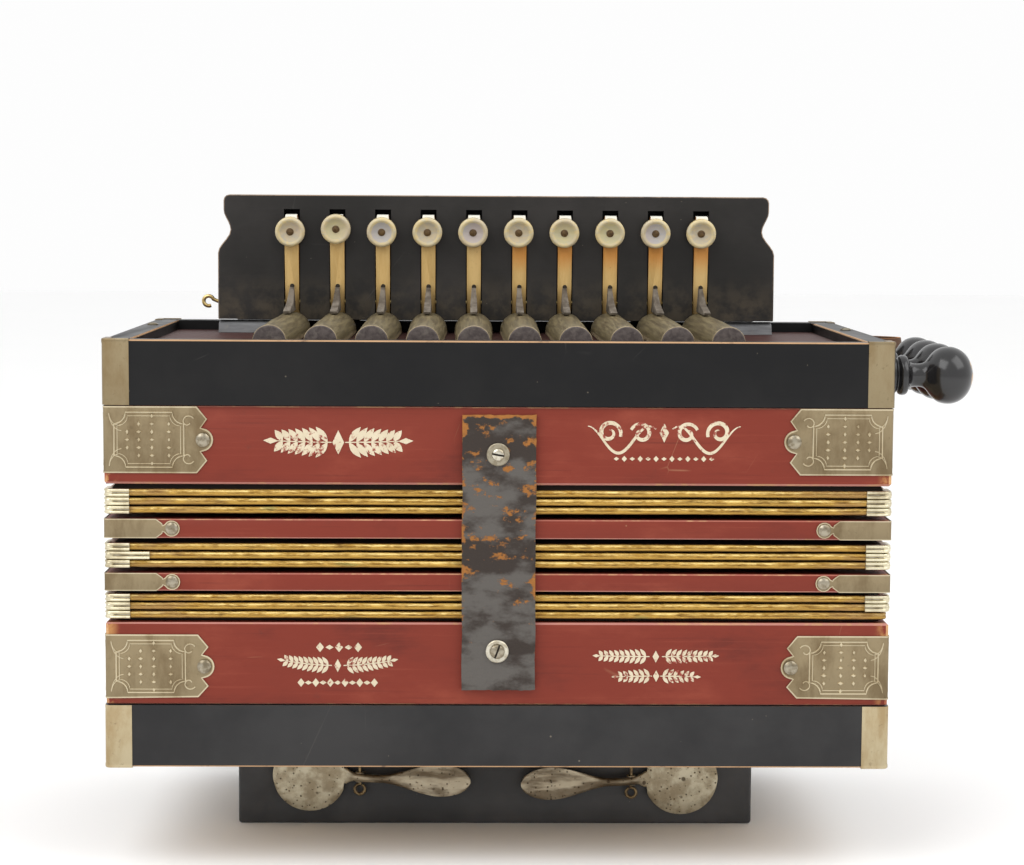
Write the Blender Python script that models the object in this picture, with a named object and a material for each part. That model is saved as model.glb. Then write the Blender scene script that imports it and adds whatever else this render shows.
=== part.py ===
"""One-row button accordion, closed and standing on its bass box.

Frame: X across the body (stops at +X), Y from the front (-Y) to the rear,
Z up from the underside of the bass box to the fingerboard. Units are metres.
"""

import math

import bmesh
import bpy
from mathutils import Matrix, Vector

MM = 0.001
GAP = 0.3 * MM                      # clearance between neighbouring pieces

# Driving dimensions of the body
BODY_WIDTH = 290.0 * MM
BODY_DEPTH = 161.0 * MM
WALL = 9.9 * MM                     # side and rear walls of both casings
FRONT_WALL = 7.0 * MM
FRAME_INSET = 1.2 * MM              # bellows frames stand this far inside the casings
FRAME_WALL = 9.0 * MM
HALF_W = BODY_WIDTH / 2
HALF_D = BODY_DEPTH / 2

# Heights of the stacked layers, from the floor up
BOX_HEIGHT = 39.0 * MM
BASS_CASING_HEIGHT = 23.4 * MM
BASS_FRAME_HEIGHT = 31.0 * MM
LOWER_FOLDS_HEIGHT = 11.2 * MM
LOWER_MID_FRAME_HEIGHT = 6.9 * MM
MIDDLE_FOLDS_HEIGHT = 12.6 * MM
UPPER_MID_FRAME_HEIGHT = 7.4 * MM
UPPER_FOLDS_HEIGHT = 12.5 * MM
TREBLE_FRAME_HEIGHT = 29.0 * MM
TREBLE_CASING_HEIGHT = 24.2 * MM

Z_BASS_CASING = BOX_HEIGHT
Z_BASS_FRAME = Z_BASS_CASING + BASS_CASING_HEIGHT
Z_LOWER_FOLDS = Z_BASS_FRAME + BASS_FRAME_HEIGHT
Z_LOWER_MID_FRAME = Z_LOWER_FOLDS + LOWER_FOLDS_HEIGHT
Z_MIDDLE_FOLDS = Z_LOWER_MID_FRAME + LOWER_MID_FRAME_HEIGHT
Z_UPPER_MID_FRAME = Z_MIDDLE_FOLDS + MIDDLE_FOLDS_HEIGHT
Z_UPPER_FOLDS = Z_UPPER_MID_FRAME + UPPER_MID_FRAME_HEIGHT
Z_TREBLE_FRAME = Z_UPPER_FOLDS + UPPER_FOLDS_HEIGHT
Z_TREBLE_CASING = Z_TREBLE_FRAME + TREBLE_FRAME_HEIGHT
Z_RIM = Z_TREBLE_CASING + TREBLE_CASING_HEIGHT

# Bellows folds
FOLDS_PER_SECTION = 3
FOLD_DEPTH = 20.0 * MM
FOLD_CARD = 5.0 * MM                # thickness of the pleated wall, measured level
MID_FRAME_WALL = 24.0 * MM

# Keys
KEY_COUNT = 10
KEY_PITCH = 18.85 * MM
AXLE_RADIUS = 0.8 * MM
AXLE_BORE = 1.2 * MM
AXLE_Y = 49.5 * MM
AXLE_Z = Z_RIM + 9.0 * MM
LEVER_LEAN = math.radians(9.0)      # the levers lean towards the player's fingers
LEVER_WIDTH = 5.8 * MM
LEVER_THICKNESS = 3.6 * MM
LEVER_BELOW_AXLE = 6.6 * MM
LEVER_ABOVE_AXLE = 36.4 * MM
BUTTON_RADIUS = 6.35 * MM
BUTTON_THICKNESS = 3.2 * MM
BUTTON_ABOVE_AXLE = 29.6 * MM
BUTTON_RAISE = {1: 1.2 * MM}        # one button sits a little higher on its lever

# Pallets and the board they cover
BOARD_DROP = 4.0 * MM               # board surface below the rim
BOARD_THICKNESS = 5.0 * MM
PALLET_FRONT_Y = -69.0 * MM
PALLET_REAR_Y = 45.5 * MM
PALLET_HEIGHT = 8.7 * MM
PALLET_FRONT_HALF = 6.2 * MM
PALLET_REAR_HALF = 7.9 * MM
HOLE_WIDTH = 8.0 * MM
HOLE_LENGTH = 9.0 * MM

# Stops: one row of tone holes each
STOP_COUNT = 4
STOP_PITCH = 22.0 * MM
STOP_FIRST_Y = -58.5 * MM
STOP_Z = Z_RIM - 13.2 * MM
STOP_ROD_RADIUS = 2.5 * MM
STOP_BORE = 2.9 * MM
SLIDE_THICKNESS = 2.6 * MM
SLIDE_WIDTH = 14.0 * MM
SLIDE_LEFT = -122.0 * MM
SLIDE_RIGHT = 112.0 * MM

# Fingerboard
BOARD_FRONT_Y = 46.5 * MM
BOARD_REAR_Y = 76.5 * MM
PLATE_THICKNESS = 6.0 * MM
FINGERBOARD_HALF = 115.5 * MM
FINGERBOARD_BOTTOM = Z_RIM + 1.7 * MM
FINGERBOARD_TOP = Z_RIM + 53.2 * MM
SLOT_WIDTH = 6.6 * MM
SLOT_TOP = Z_RIM + 47.3 * MM

# Bass box
BOX_HALF_W = 102.5 * MM
BOX_FRONT_Y = -10.5 * MM
BOX_WALL = 6.0 * MM
SPOON_Z = BOX_HEIGHT - 18.5 * MM
SPOON_DISC_X = 74.0 * MM
SPOON_PIVOT_X = 54.0 * MM
SPOON_DISC_RADIUS = 14.6 * MM
SPOON_TIP_X = 10.0 * MM
SPOON_PLATE = 1.6 * MM
SPOON_DROOP = 0.04                  # the bowls hang a little lower than the discs
SPOON_AXLE_PROUD = 3.6 * MM
SPOON_WIRE = 0.64 * MM
SPOON_BORE = 1.0 * MM
RIGHT_SPOON_DROP = 1.2 * MM
TONE_HOLE_RADIUS = 9.0 * MM
AIR_BUTTON_Y = 49.5 * MM
AIR_BUTTON_Z = 20.0 * MM
AIR_HOLE_RADIUS = 8.0 * MM

# Straps
STRAP_WIDTH = 28.0 * MM
STRAP_THICKNESS = 2.6 * MM
STRAP_TOP = Z_RIM - 26.6 * MM
STRAP_BOTTOM = Z_RIM - 129.0 * MM
STRAP_BEND_Z = 90.0 * MM            # the strap bends here when it is folded down
UPPER_SCREW_Z = Z_RIM - 41.3 * MM
LOWER_SCREW_Z = Z_RIM - 114.0 * MM


# ---------------------------------------------------------------- materials
def make_material(name, colour, roughness, metallic=0.0):
    material = bpy.data.materials.new(name)
    material.use_nodes = True
    shader = material.node_tree.nodes["Principled BSDF"]
    shader.inputs["Base Color"].default_value = (*colour, 1.0)
    shader.inputs["Roughness"].default_value = roughness
    shader.inputs["Metallic"].default_value = metallic
    return material


def make_materials():
    return {
        "black_lacquer": make_material("black_lacquer", (0.02, 0.02, 0.022), 0.35),
        "red_paint": make_material("red_paint", (0.33, 0.06, 0.04), 0.5),
        "gold_fold": make_material("gold_fold", (0.55, 0.36, 0.10), 0.4, 0.6),
        "board_wood": make_material("board_wood", (0.16, 0.09, 0.075), 0.6),
        "plain_wood": make_material("plain_wood", (0.45, 0.32, 0.18), 0.6),
        "lever_wood": make_material("lever_wood", (0.62, 0.42, 0.16), 0.45),
        "pallet_wood": make_material("pallet_wood", (0.20, 0.17, 0.12), 0.5),
        "pearl": make_material("pearl", (0.72, 0.70, 0.58), 0.25),
        "steel": make_material("steel", (0.55, 0.54, 0.50), 0.4, 1.0),
        "brass_wire": make_material("brass_wire", (0.60, 0.45, 0.18), 0.35, 1.0),
        "black_wood": make_material("black_wood", (0.015, 0.015, 0.016), 0.2),
        "leather": make_material("leather", (0.08, 0.06, 0.05), 0.7),
    }


# ------------------------------------------------------------ mesh helpers
def add_object(name, bm, material, smooth=False):
    bmesh.ops.remove_doubles(bm, verts=bm.verts, dist=1e-7)
    bmesh.ops.recalc_face_normals(bm, faces=bm.faces)
    mesh = bpy.data.meshes.new(name)
    bm.to_mesh(mesh)
    bm.free()
    mesh.materials.append(material)
    if smooth:
        mesh.shade_smooth()
        mesh.set_sharp_from_angle(angle=math.radians(35))
    node = bpy.data.objects.new(name, mesh)
    bpy.context.scene.collection.objects.link(node)
    return node


def add_pivot(name, location):
    pivot = bpy.data.objects.new(name, None)
    pivot.empty_display_size = 0.01
    pivot.location = location
    bpy.context.scene.collection.objects.link(pivot)
    return pivot


def hang_on(node, pivot):
    """Parent a node to an empty on its joint axis, leaving it where it is."""
    node.parent = pivot
    node.matrix_parent_inverse = Matrix.Translation(-pivot.location)


def box_mesh(low, high):
    bm = bmesh.new()
    bmesh.ops.create_cube(bm, size=1.0)
    low = Vector(low)
    high = Vector(high)
    for vert in bm.verts:
        for axis in range(3):
            vert.co[axis] = high[axis] if vert.co[axis] > 0 else low[axis]
    return bm


def loft_mesh(sections, closed_ends=True):
    """Join equal rings of points with quads and cap both ends."""
    bm = bmesh.new()
    rings = [[bm.verts.new(point) for point in section] for section in sections]
    count = len(rings[0])
    for ring, following in zip(rings, rings[1:]):
        for i in range(count):
            j = (i + 1) % count
            bm.faces.new((ring[i], ring[j], following[j], following[i]))
    if closed_ends:
        bm.faces.new(rings[0])
        bm.faces.new(rings[-1])
    return bm


def prism_mesh(outline, axis, start, end):
    """Extrude a 2-D outline along an axis; the outline gives the other two axes in order."""
    def place(point, along):
        values = list(point)
        values.insert(axis, along)
        return values
    return loft_mesh([[place(p, start) for p in outline], [place(p, end) for p in outline]])


def rectangle_ring(half_w, half_d, z):
    return [(-half_w, -half_d, z), (half_w, -half_d, z), (half_w, half_d, z), (-half_w, half_d, z)]


def tube_of_rings(rings):
    """A wall with a closed profile: every ring joins the next, and the last joins the first."""
    bm = bmesh.new()
    loops = [[bm.verts.new(point) for point in ring] for ring in rings]
    count = len(loops[0])
    for loop, following in zip(loops, loops[1:] + loops[:1]):
        for i in range(count):
            j = (i + 1) % count
            bm.faces.new((loop[i], loop[j], following[j], following[i]))
    return bm


def frame_mesh(outer, inner_side, inner_front, inner_rear, z_low, z_high):
    """A rectangular frame with separate front and rear wall thicknesses."""
    outer_w, outer_d = outer

    def inner(z):
        x = outer_w - inner_side
        front = -outer_d + inner_front
        rear = outer_d - inner_rear
        return [(-x, front, z), (x, front, z), (x, rear, z), (-x, rear, z)]

    low, high = z_low, z_high
    rings = [rectangle_ring(outer_w, outer_d, low), rectangle_ring(outer_w, outer_d, high)]
    rings += [inner(high), inner(low)]
    return tube_of_rings(rings)


def pierced_plate(x_edges, y_edges, z_low, z_high):
    """A plate on a grid of edges whose odd cells in both directions are holes."""
    bm = bmesh.new()
    columns, rows = len(x_edges) - 1, len(y_edges) - 1
    verts = {}

    def vert(i, j, z):
        key = (i, j, z)
        if key not in verts:
            verts[key] = bm.verts.new((x_edges[i], y_edges[j], z))
        return verts[key]

    def solid(i, j):
        inside = 0 <= i < columns and 0 <= j < rows
        return inside and not (i % 2 == 1 and j % 2 == 1)

    for i in range(columns):
        for j in range(rows):
            if not solid(i, j):
                continue
            corners = [(i, j), (i + 1, j), (i + 1, j + 1), (i, j + 1)]
            bm.faces.new([vert(a, b, z_high) for a, b in corners])
            bm.faces.new([vert(a, b, z_low) for a, b in reversed(corners)])
            neighbours = [(i, j - 1), (i + 1, j), (i, j + 1), (i - 1, j)]
            for side, (a, b) in enumerate(neighbours):
                if not solid(a, b):
                    p, q = corners[side], corners[(side + 1) % 4]
                    bm.faces.new((vert(*p, z_low), vert(*q, z_low), vert(*q, z_high), vert(*p, z_high)))
    return bm


def lathe_mesh(profile, centre, axis, segments):
    """Turn (along, radius) pairs about an axis through centre; both ends close on the axis."""
    frame = Vector(axis).to_track_quat("Z", "Y").to_matrix()
    centre = Vector(centre)
    bm = bmesh.new()
    rings = []
    for along, radius in profile:
        if radius == 0:
            rings.append([bm.verts.new(centre + frame @ Vector((0, 0, along)))])
            continue
        ring = []
        for k in range(segments):
            angle = 2 * math.pi * k / segments
            spoke = Vector((radius * math.cos(angle), radius * math.sin(angle), along))
            ring.append(bm.verts.new(centre + frame @ spoke))
        rings.append(ring)
    for ring, following in zip(rings, rings[1:]):
        for k in range(segments):
            n = (k + 1) % segments
            if len(ring) == 1:
                bm.faces.new((ring[0], following[n], following[k]))
            elif len(following) == 1:
                bm.faces.new((ring[k], ring[n], following[0]))
            else:
                bm.faces.new((ring[k], ring[n], following[n], following[k]))
    return bm


def wire_object(name, points, radius, material):
    """A round wire with closed ends along a smooth row of points."""
    curve = bpy.data.curves.new(name, "CURVE")
    curve.dimensions = "3D"
    curve.bevel_depth = radius
    curve.bevel_resolution = 2
    curve.use_fill_caps = True
    spline = curve.splines.new("POLY")
    spline.points.add(len(points) - 1)
    for slot, point in zip(spline.points, points):
        slot.co = (*point, 1.0)
    curve.materials.append(material)
    node = bpy.data.objects.new(name, curve)
    bpy.context.scene.collection.objects.link(node)
    return node


def ribbon_mesh(path, thickness, z_low, z_high):
    """A strap: a level path given by its inner side, made thick to the left of its travel."""
    outer = []
    for i, point in enumerate(path):
        before = Vector(path[max(i - 1, 0)])
        after = Vector(path[min(i + 1, len(path) - 1)])
        along = (after - before).normalized()
        outer.append(Vector(point) + Vector((-along.y, along.x)) * thickness)
    outline = [tuple(p) for p in path] + [tuple(p) for p in reversed(outer)]
    return prism_mesh(outline, 2, z_low, z_high)


def boolean(node, cutter, operation):
    modifier = node.modifiers.new(operation.lower(), "BOOLEAN")
    modifier.operation = operation
    modifier.object = cutter
    modifier.solver = "EXACT"
    cutter.hide_render = True
    cutter.display_type = "WIRE"
    cutter.hide_viewport = False


def cut(node, bm, paint):
    cutter = add_object(node.name + "_cutter", bm, paint)
    boolean(node, cutter, "DIFFERENCE")


def join_on(node, bm, paint):
    cutter = add_object(node.name + "_addition", bm, paint)
    boolean(node, cutter, "UNION")


def key_x(index):
    return (index - (KEY_COUNT - 1) / 2) * KEY_PITCH


def spoon_z(side):
    return SPOON_Z - (RIGHT_SPOON_DROP if side > 0 else 0.0)


def stop_y(index):
    return STOP_FIRST_Y + index * STOP_PITCH


# ------------------------------------------------------- casings and frames
def build_bass_casing(paints):
    bm = frame_mesh((HALF_W, HALF_D), WALL, FRONT_WALL, WALL, Z_BASS_CASING + GAP, Z_BASS_FRAME)
    add_object("bass_casing", bm, paints["black_lacquer"])


def build_bass_board(paints):
    side = HALF_W - WALL - GAP
    front = -HALF_D + FRONT_WALL + GAP
    rear = HALF_D - WALL - GAP
    x_edges = [-side, -60 * MM, 60 * MM, side]
    y_edges = [front, 10 * MM, 60 * MM, rear]
    z_low = Z_BASS_CASING + GAP
    bm = pierced_plate(x_edges, y_edges, z_low, z_low + 6 * MM)
    add_object("bass_board", bm, paints["plain_wood"])


def frame_size():
    return (HALF_W - FRAME_INSET, HALF_D - FRAME_INSET)


def build_bellows_frames(paints):
    size = frame_size()
    deep = [
        ("bass_frame", Z_BASS_FRAME, BASS_FRAME_HEIGHT, FRAME_WALL),
        ("mid_frame_lower", Z_LOWER_MID_FRAME, LOWER_MID_FRAME_HEIGHT, MID_FRAME_WALL),
        ("mid_frame_upper", Z_UPPER_MID_FRAME, UPPER_MID_FRAME_HEIGHT, MID_FRAME_WALL),
        ("treble_frame", Z_TREBLE_FRAME, TREBLE_FRAME_HEIGHT, FRAME_WALL),
    ]
    for name, z_low, height, wall in deep:
        bm = frame_mesh(size, wall, wall, wall, z_low + GAP, z_low + height)
        add_object(name, bm, paints["red_paint"])


def build_bellows_section(name, z_low, height, paints):
    """A pleated wall that closes the space between two frames."""
    half_w, half_d = frame_size()
    start, end = z_low + GAP, z_low + height
    steps = 2 * FOLDS_PER_SECTION
    outer, inner = [], []
    for k in range(steps + 1):
        z = start + (end - start) * k / steps
        inset = 0.0 if k % 2 else FOLD_DEPTH
        outer.append(rectangle_ring(half_w - inset, half_d - inset, z))
        inner.append(rectangle_ring(half_w - inset - FOLD_CARD, half_d - inset - FOLD_CARD, z))
    bm = tube_of_rings(outer + inner[::-1])
    add_object(name, bm, paints["gold_fold"])


def build_bellows(paints):
    build_bellows_section("bellows_lower", Z_LOWER_FOLDS, LOWER_FOLDS_HEIGHT, paints)
    build_bellows_section("bellows_middle", Z_MIDDLE_FOLDS, MIDDLE_FOLDS_HEIGHT, paints)
    build_bellows_section("bellows_upper", Z_UPPER_FOLDS, UPPER_FOLDS_HEIGHT, paints)


def build_treble_casing(paints):
    z_low = Z_TREBLE_CASING + GAP
    bm = frame_mesh((HALF_W, HALF_D), WALL, FRONT_WALL, WALL, z_low, Z_RIM)
    casing = add_object("treble_casing", bm, paints["black_lacquer"])
    bores = bmesh.new()
    for index in range(STOP_COUNT):
        centre = (HALF_W - WALL / 2, stop_y(index), STOP_Z)
        turn = Matrix.Translation(centre) @ Matrix.Rotation(math.pi / 2, 4, "Y")
        bmesh.ops.create_cone(
            bores, cap_ends=True, segments=16, radius1=STOP_BORE, radius2=STOP_BORE,
            depth=WALL * 2, matrix=turn)
    cut(casing, bores, paints["black_lacquer"])


# --------------------------------------------------- pallet board and reeds
def hole_edges_x(low, high, shift=0.0):
    edges = [low]
    for index in range(KEY_COUNT):
        centre = key_x(index) + shift
        edges += [centre - HOLE_WIDTH / 2, centre + HOLE_WIDTH / 2]
    return edges + [high]


def build_pallet_board(paints):
    side = HALF_W - WALL - GAP
    y_edges = [-HALF_D + FRONT_WALL + GAP]
    for index in range(STOP_COUNT):
        y_edges += [stop_y(index) - HOLE_LENGTH / 2, stop_y(index) + HOLE_LENGTH / 2]
    y_edges.append(HALF_D - WALL - GAP)
    top = Z_RIM - BOARD_DROP
    bm = pierced_plate(hole_edges_x(-side, side), y_edges, top - BOARD_THICKNESS, top)
    add_object("pallet_board", bm, paints["board_wood"])


def build_treble_reed_block(paints):
    """A base plate under the stop slides with one rib of reed chambers for each stop."""
    top = STOP_Z - STOP_ROD_RADIUS - 2 * GAP
    plate = 3.0 * MM
    rib_depth = 27.0 * MM
    rib_half = 5.5 * MM
    half = 112.0 * MM
    outline = [(stop_y(0) - rib_half, top), (stop_y(0) - rib_half, top - plate - rib_depth)]
    for index in range(STOP_COUNT):
        y = stop_y(index)
        if index:
            outline += [(y - rib_half, top - plate), (y - rib_half, top - plate - rib_depth)]
        outline.append((y + rib_half, top - plate - rib_depth))
        if index < STOP_COUNT - 1:
            outline.append((y + rib_half, top - plate))
    outline.append((stop_y(STOP_COUNT - 1) + rib_half, top))
    bm = prism_mesh(outline, 0, -half, half)
    add_object("treble_reed_block", bm, paints["plain_wood"])


def build_bass_reed_block(paints):
    """A block of bass reeds that stands in the bass box."""
    z_low = BOX_WALL + GAP
    outline = [(12 * MM, z_low), (58 * MM, z_low), (58 * MM, z_low + 26 * MM)]
    outline += [(47 * MM, z_low + 26 * MM), (47 * MM, z_low + 6 * MM)]
    outline += [(23 * MM, z_low + 6 * MM), (23 * MM, z_low + 26 * MM), (12 * MM, z_low + 26 * MM)]
    bm = prism_mesh(outline, 0, -55 * MM, 55 * MM)
    add_object("bass_reed_block", bm, paints["plain_wood"])


# -------------------------------------------------------------- fingerboard
def fingerboard_end():
    """Right-hand end of the board's outline from the bottom to the top: an ogee, then a round."""
    waist, ear = 110.3 * MM, 113.1 * MM
    swell_start, waist_z, ear_z = (Z_RIM + h * MM for h in (29.0, 38.7, 47.0))
    corner = 2.5 * MM
    points = [(FINGERBOARD_HALF, FINGERBOARD_BOTTOM), (FINGERBOARD_HALF, swell_start)]
    steps = 5
    for k in range(1, steps + 1):
        ease = (1 - math.cos(math.pi * k / steps)) / 2
        z = swell_start + (waist_z - swell_start) * k / steps
        points.append((FINGERBOARD_HALF + (waist - FINGERBOARD_HALF) * ease, z))
    for k in range(1, steps + 1):
        ease = (1 - math.cos(math.pi * k / steps)) / 2
        z = waist_z + (ear_z - waist_z) * k / steps
        points.append((waist + (ear - waist) * ease, z))
    for k in range(4):
        angle = math.pi / 2 * k / 3
        x = ear - corner + corner * math.cos(angle)
        points.append((x, FINGERBOARD_TOP - corner + corner * math.sin(angle)))
    return points


def build_fingerboard(paints):
    right = fingerboard_end()
    left = [(-x, z) for x, z in reversed(right)]
    bm = prism_mesh(right + left, 1, BOARD_FRONT_Y, BOARD_REAR_Y)
    board = add_object("fingerboard", bm, paints["black_lacquer"])
    rail = box_mesh(
        (-110 * MM, 72 * MM, Z_RIM + GAP), (110 * MM, BOARD_REAR_Y - 1 * MM, Z_RIM + 4 * MM))
    join_on(board, rail, paints["black_lacquer"])
    hollow = box_mesh(
        (-104 * MM, BOARD_FRONT_Y + PLATE_THICKNESS, Z_RIM - 1 * MM),
        (104 * MM, 72 * MM, SLOT_TOP + 0.4 * MM))
    for index in range(KEY_COUNT):
        x = key_x(index)
        slot = bmesh.ops.create_cube(hollow, size=1.0)["verts"]
        for vert in slot:
            vert.co.x = x + SLOT_WIDTH * vert.co.x
            vert.co.y = BOARD_FRONT_Y + (-2 * MM if vert.co.y < 0 else PLATE_THICKNESS + 1 * MM)
            vert.co.z = SLOT_TOP if vert.co.z > 0 else Z_RIM - 2 * MM
    slots = add_object("fingerboard_hollow_cutter", hollow, paints["black_lacquer"])
    # The hollow and the slots overlap, so the cut treats them as one region.
    boolean(board, slots, "DIFFERENCE")
    board.modifiers["difference"].use_self = True
    bore = bmesh.new()
    turn = Matrix.Translation((0, AXLE_Y, AXLE_Z)) @ Matrix.Rotation(math.pi / 2, 4, "Y")
    bmesh.ops.create_cone(
        bore, cap_ends=True, segments=10, radius1=AXLE_BORE, radius2=AXLE_BORE,
        depth=FINGERBOARD_HALF * 2 + 10 * MM, matrix=turn)
    cut(board, bore, paints["black_lacquer"])


def build_key_axle(paints):
    """One wire through every lever, bent into an open eye at the left end."""
    eye_radius = 2.1 * MM
    eye_x = -(FINGERBOARD_HALF + 4.2 * MM)
    points = [(FINGERBOARD_HALF - 1 * MM, AXLE_Y, AXLE_Z), (0, AXLE_Y, AXLE_Z)]
    points.append((-FINGERBOARD_HALF, AXLE_Y, AXLE_Z))
    for k in range(12):
        angle = math.radians(20 + 26 * k)
        x = eye_x + eye_radius * math.cos(angle)
        points.append((x, AXLE_Y, AXLE_Z + eye_radius * math.sin(angle)))
    wire_object("key_axle", points, AXLE_RADIUS, paints["brass_wire"])


# --------------------------------------------------------------------- keys
def lever_point(x, forward, above):
    """A point in the lever's own leaning frame: in front of and above the axle."""
    y = -forward * math.cos(LEVER_LEAN) - above * math.sin(LEVER_LEAN)
    z = above * math.cos(LEVER_LEAN) - forward * math.sin(LEVER_LEAN)
    return (x, AXLE_Y + y, AXLE_Z + z)


def build_lever(index, pivot, paints):
    x = key_x(index)
    half, thick = LEVER_WIDTH / 2, LEVER_THICKNESS / 2
    sections = []
    for above in (-LEVER_BELOW_AXLE, LEVER_ABOVE_AXLE):
        corners = [(-half, -thick), (half, -thick), (half, thick), (-half, thick)]
        sections.append([lever_point(x + dx, forward, above) for dx, forward in corners])
    name = f"key_lever_{index + 1:02d}"
    lever = add_object(name, loft_mesh(sections), paints["lever_wood"])
    # The arm runs from the lever's hole down and forward along the pallet.
    arm = [(-0.6, 6.2), (-0.6, -3.4), (-6.0, -3.6), (-34.0, -3.6), (-34.6, -2.6), (-15.0, 0.2)]
    arm.append((-4.0, 6.2))
    outline = [(AXLE_Y + dy * MM, AXLE_Z + dz * MM) for dy, dz in arm]
    join_on(lever, prism_mesh(outline, 0, x - 1.4 * MM, x + 1.4 * MM), paints["lever_wood"])
    bore = bmesh.new()
    turn = Matrix.Translation((x, AXLE_Y, AXLE_Z)) @ Matrix.Rotation(math.pi / 2, 4, "Y")
    bmesh.ops.create_cone(
        bore, cap_ends=True, segments=10, radius1=AXLE_BORE, radius2=AXLE_BORE,
        depth=LEVER_WIDTH * 2, matrix=turn)
    cut(lever, bore, paints["lever_wood"])
    hang_on(lever, pivot)


def build_button(index, pivot, paints):
    above = BUTTON_ABOVE_AXLE + BUTTON_RAISE.get(index, 0.0)
    centre = lever_point(key_x(index), LEVER_THICKNESS / 2 + GAP, above)
    outward = (0, -math.cos(LEVER_LEAN), -math.sin(LEVER_LEAN))
    rim, thick = BUTTON_RADIUS, BUTTON_THICKNESS
    profile = [(0, 0), (0, rim - 0.6 * MM), (0.8 * MM, rim), (thick - 0.5 * MM, rim)]
    profile += [(thick, rim - 0.6 * MM), (thick - 0.9 * MM, 2.4 * MM), (thick - 0.9 * MM, 0)]
    bm = lathe_mesh(profile, centre, outward, 20)
    button = add_object(f"key_button_{index + 1:02d}", bm, paints["pearl"], smooth=True)
    hang_on(button, pivot)


def pallet_section(x, y, half, floor):
    """Half-round cross-section: short upright sides, then an arch."""
    shoulder = PALLET_HEIGHT - half * 0.95
    points = [(x - half, y, floor), (x + half, y, floor)]
    steps = 10
    for k in range(steps + 1):
        angle = math.pi * k / steps
        rise = (PALLET_HEIGHT - shoulder) * math.sin(angle)
        points.append((x + half * math.cos(angle), y, floor + shoulder + rise))
    return points


def build_pallet(index, pivot, paints):
    x = key_x(index)
    floor = Z_RIM - BOARD_DROP + GAP
    sections = [
        pallet_section(x, PALLET_FRONT_Y, PALLET_FRONT_HALF, floor),
        pallet_section(x, PALLET_REAR_Y, PALLET_REAR_HALF, floor),
    ]
    name = f"key_pallet_{index + 1:02d}"
    pallet = add_object(name, loft_mesh(sections), paints["pallet_wood"], smooth=True)
    hang_on(pallet, pivot)


def build_keys(paints):
    for index in range(KEY_COUNT):
        pivot = add_pivot(f"key_pivot_{index + 1:02d}", (key_x(index), AXLE_Y, AXLE_Z))
        build_lever(index, pivot, paints)
        build_button(index, pivot, paints)
        build_pallet(index, pivot, paints)


# -------------------------------------------------------------------- stops
def build_stop(index, paints):
    """Turned knob, rod and the pierced slide that the rod pulls, glued into one piece."""
    y = stop_y(index)
    slide_top = Z_RIM - BOARD_DROP - BOARD_THICKNESS - GAP
    x_edges = hole_edges_x(SLIDE_LEFT, SLIDE_RIGHT)
    y_edges = [y - SLIDE_WIDTH / 2, y - HOLE_LENGTH / 2, y + HOLE_LENGTH / 2, y + SLIDE_WIDTH / 2]
    slide = pierced_plate(x_edges, y_edges, slide_top - SLIDE_THICKNESS, slide_top)
    knob = add_object(f"stop_knob_{index + 1}", slide, paints["black_wood"], smooth=True)
    face = HALF_W + GAP
    profile = [(SLIDE_RIGHT - 14 * MM, 0), (SLIDE_RIGHT - 14 * MM, STOP_ROD_RADIUS)]
    profile.append((face, STOP_ROD_RADIUS))
    turned = [(0.0, 7.4), (2.6, 7.4), (3.4, 6.3), (5.0, 7.5), (7.0, 7.2), (8.4, 4.8), (11.5, 4.3)]
    turned += [(14.2, 5.3), (15.6, 8.2), (19.0, 10.6), (25.5, 10.7), (28.5, 9.6), (31.4, 4.0)]
    turned.append((32.2, 0.0))
    profile += [(face + along * MM, radius * MM) for along, radius in turned]
    join_on(knob, lathe_mesh(profile, (0, y, STOP_Z), (1, 0, 0), 16), paints["black_wood"])
    hang_on(knob, add_pivot(f"stop_pivot_{index + 1}", (HALF_W, y, STOP_Z)))


# ----------------------------------------------------------------- bass box
def build_bass_box(paints):
    floor_rings = [
        rectangle_ring(BOX_HALF_W, (HALF_D - BOX_FRONT_Y) / 2, 0.0),
        rectangle_ring(BOX_HALF_W, (HALF_D - BOX_FRONT_Y) / 2, BOX_HEIGHT),
        rectangle_ring(BOX_HALF_W - BOX_WALL, (HALF_D - BOX_FRONT_Y) / 2 - BOX_WALL, BOX_HEIGHT),
        rectangle_ring(BOX_HALF_W - BOX_WALL, (HALF_D - BOX_FRONT_Y) / 2 - BOX_WALL, BOX_WALL),
    ]
    bm = loft_mesh(floor_rings)
    bmesh.ops.translate(bm, verts=bm.verts, vec=(0, (HALF_D + BOX_FRONT_Y) / 2, 0))
    box = add_object("bass_box", bm, paints["black_lacquer"])
    holes = bmesh.new()
    for x in (-SPOON_DISC_X, SPOON_DISC_X):
        turn = Matrix.Translation((x, BOX_FRONT_Y, SPOON_Z)) @ Matrix.Rotation(math.pi / 2, 4, "X")
        bmesh.ops.create_cone(
            holes, cap_ends=True, segments=16, radius1=TONE_HOLE_RADIUS,
            radius2=TONE_HOLE_RADIUS, depth=BOX_WALL * 3, matrix=turn)
    turn = Matrix.Translation((BOX_HALF_W, AIR_BUTTON_Y, AIR_BUTTON_Z))
    bmesh.ops.create_cone(
        holes, cap_ends=True, segments=16, radius1=AIR_HOLE_RADIUS, radius2=AIR_HOLE_RADIUS,
        depth=BOX_WALL * 3, matrix=turn @ Matrix.Rotation(math.pi / 2, 4, "Y"))
    cut(box, holes, paints["black_lacquer"])


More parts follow.
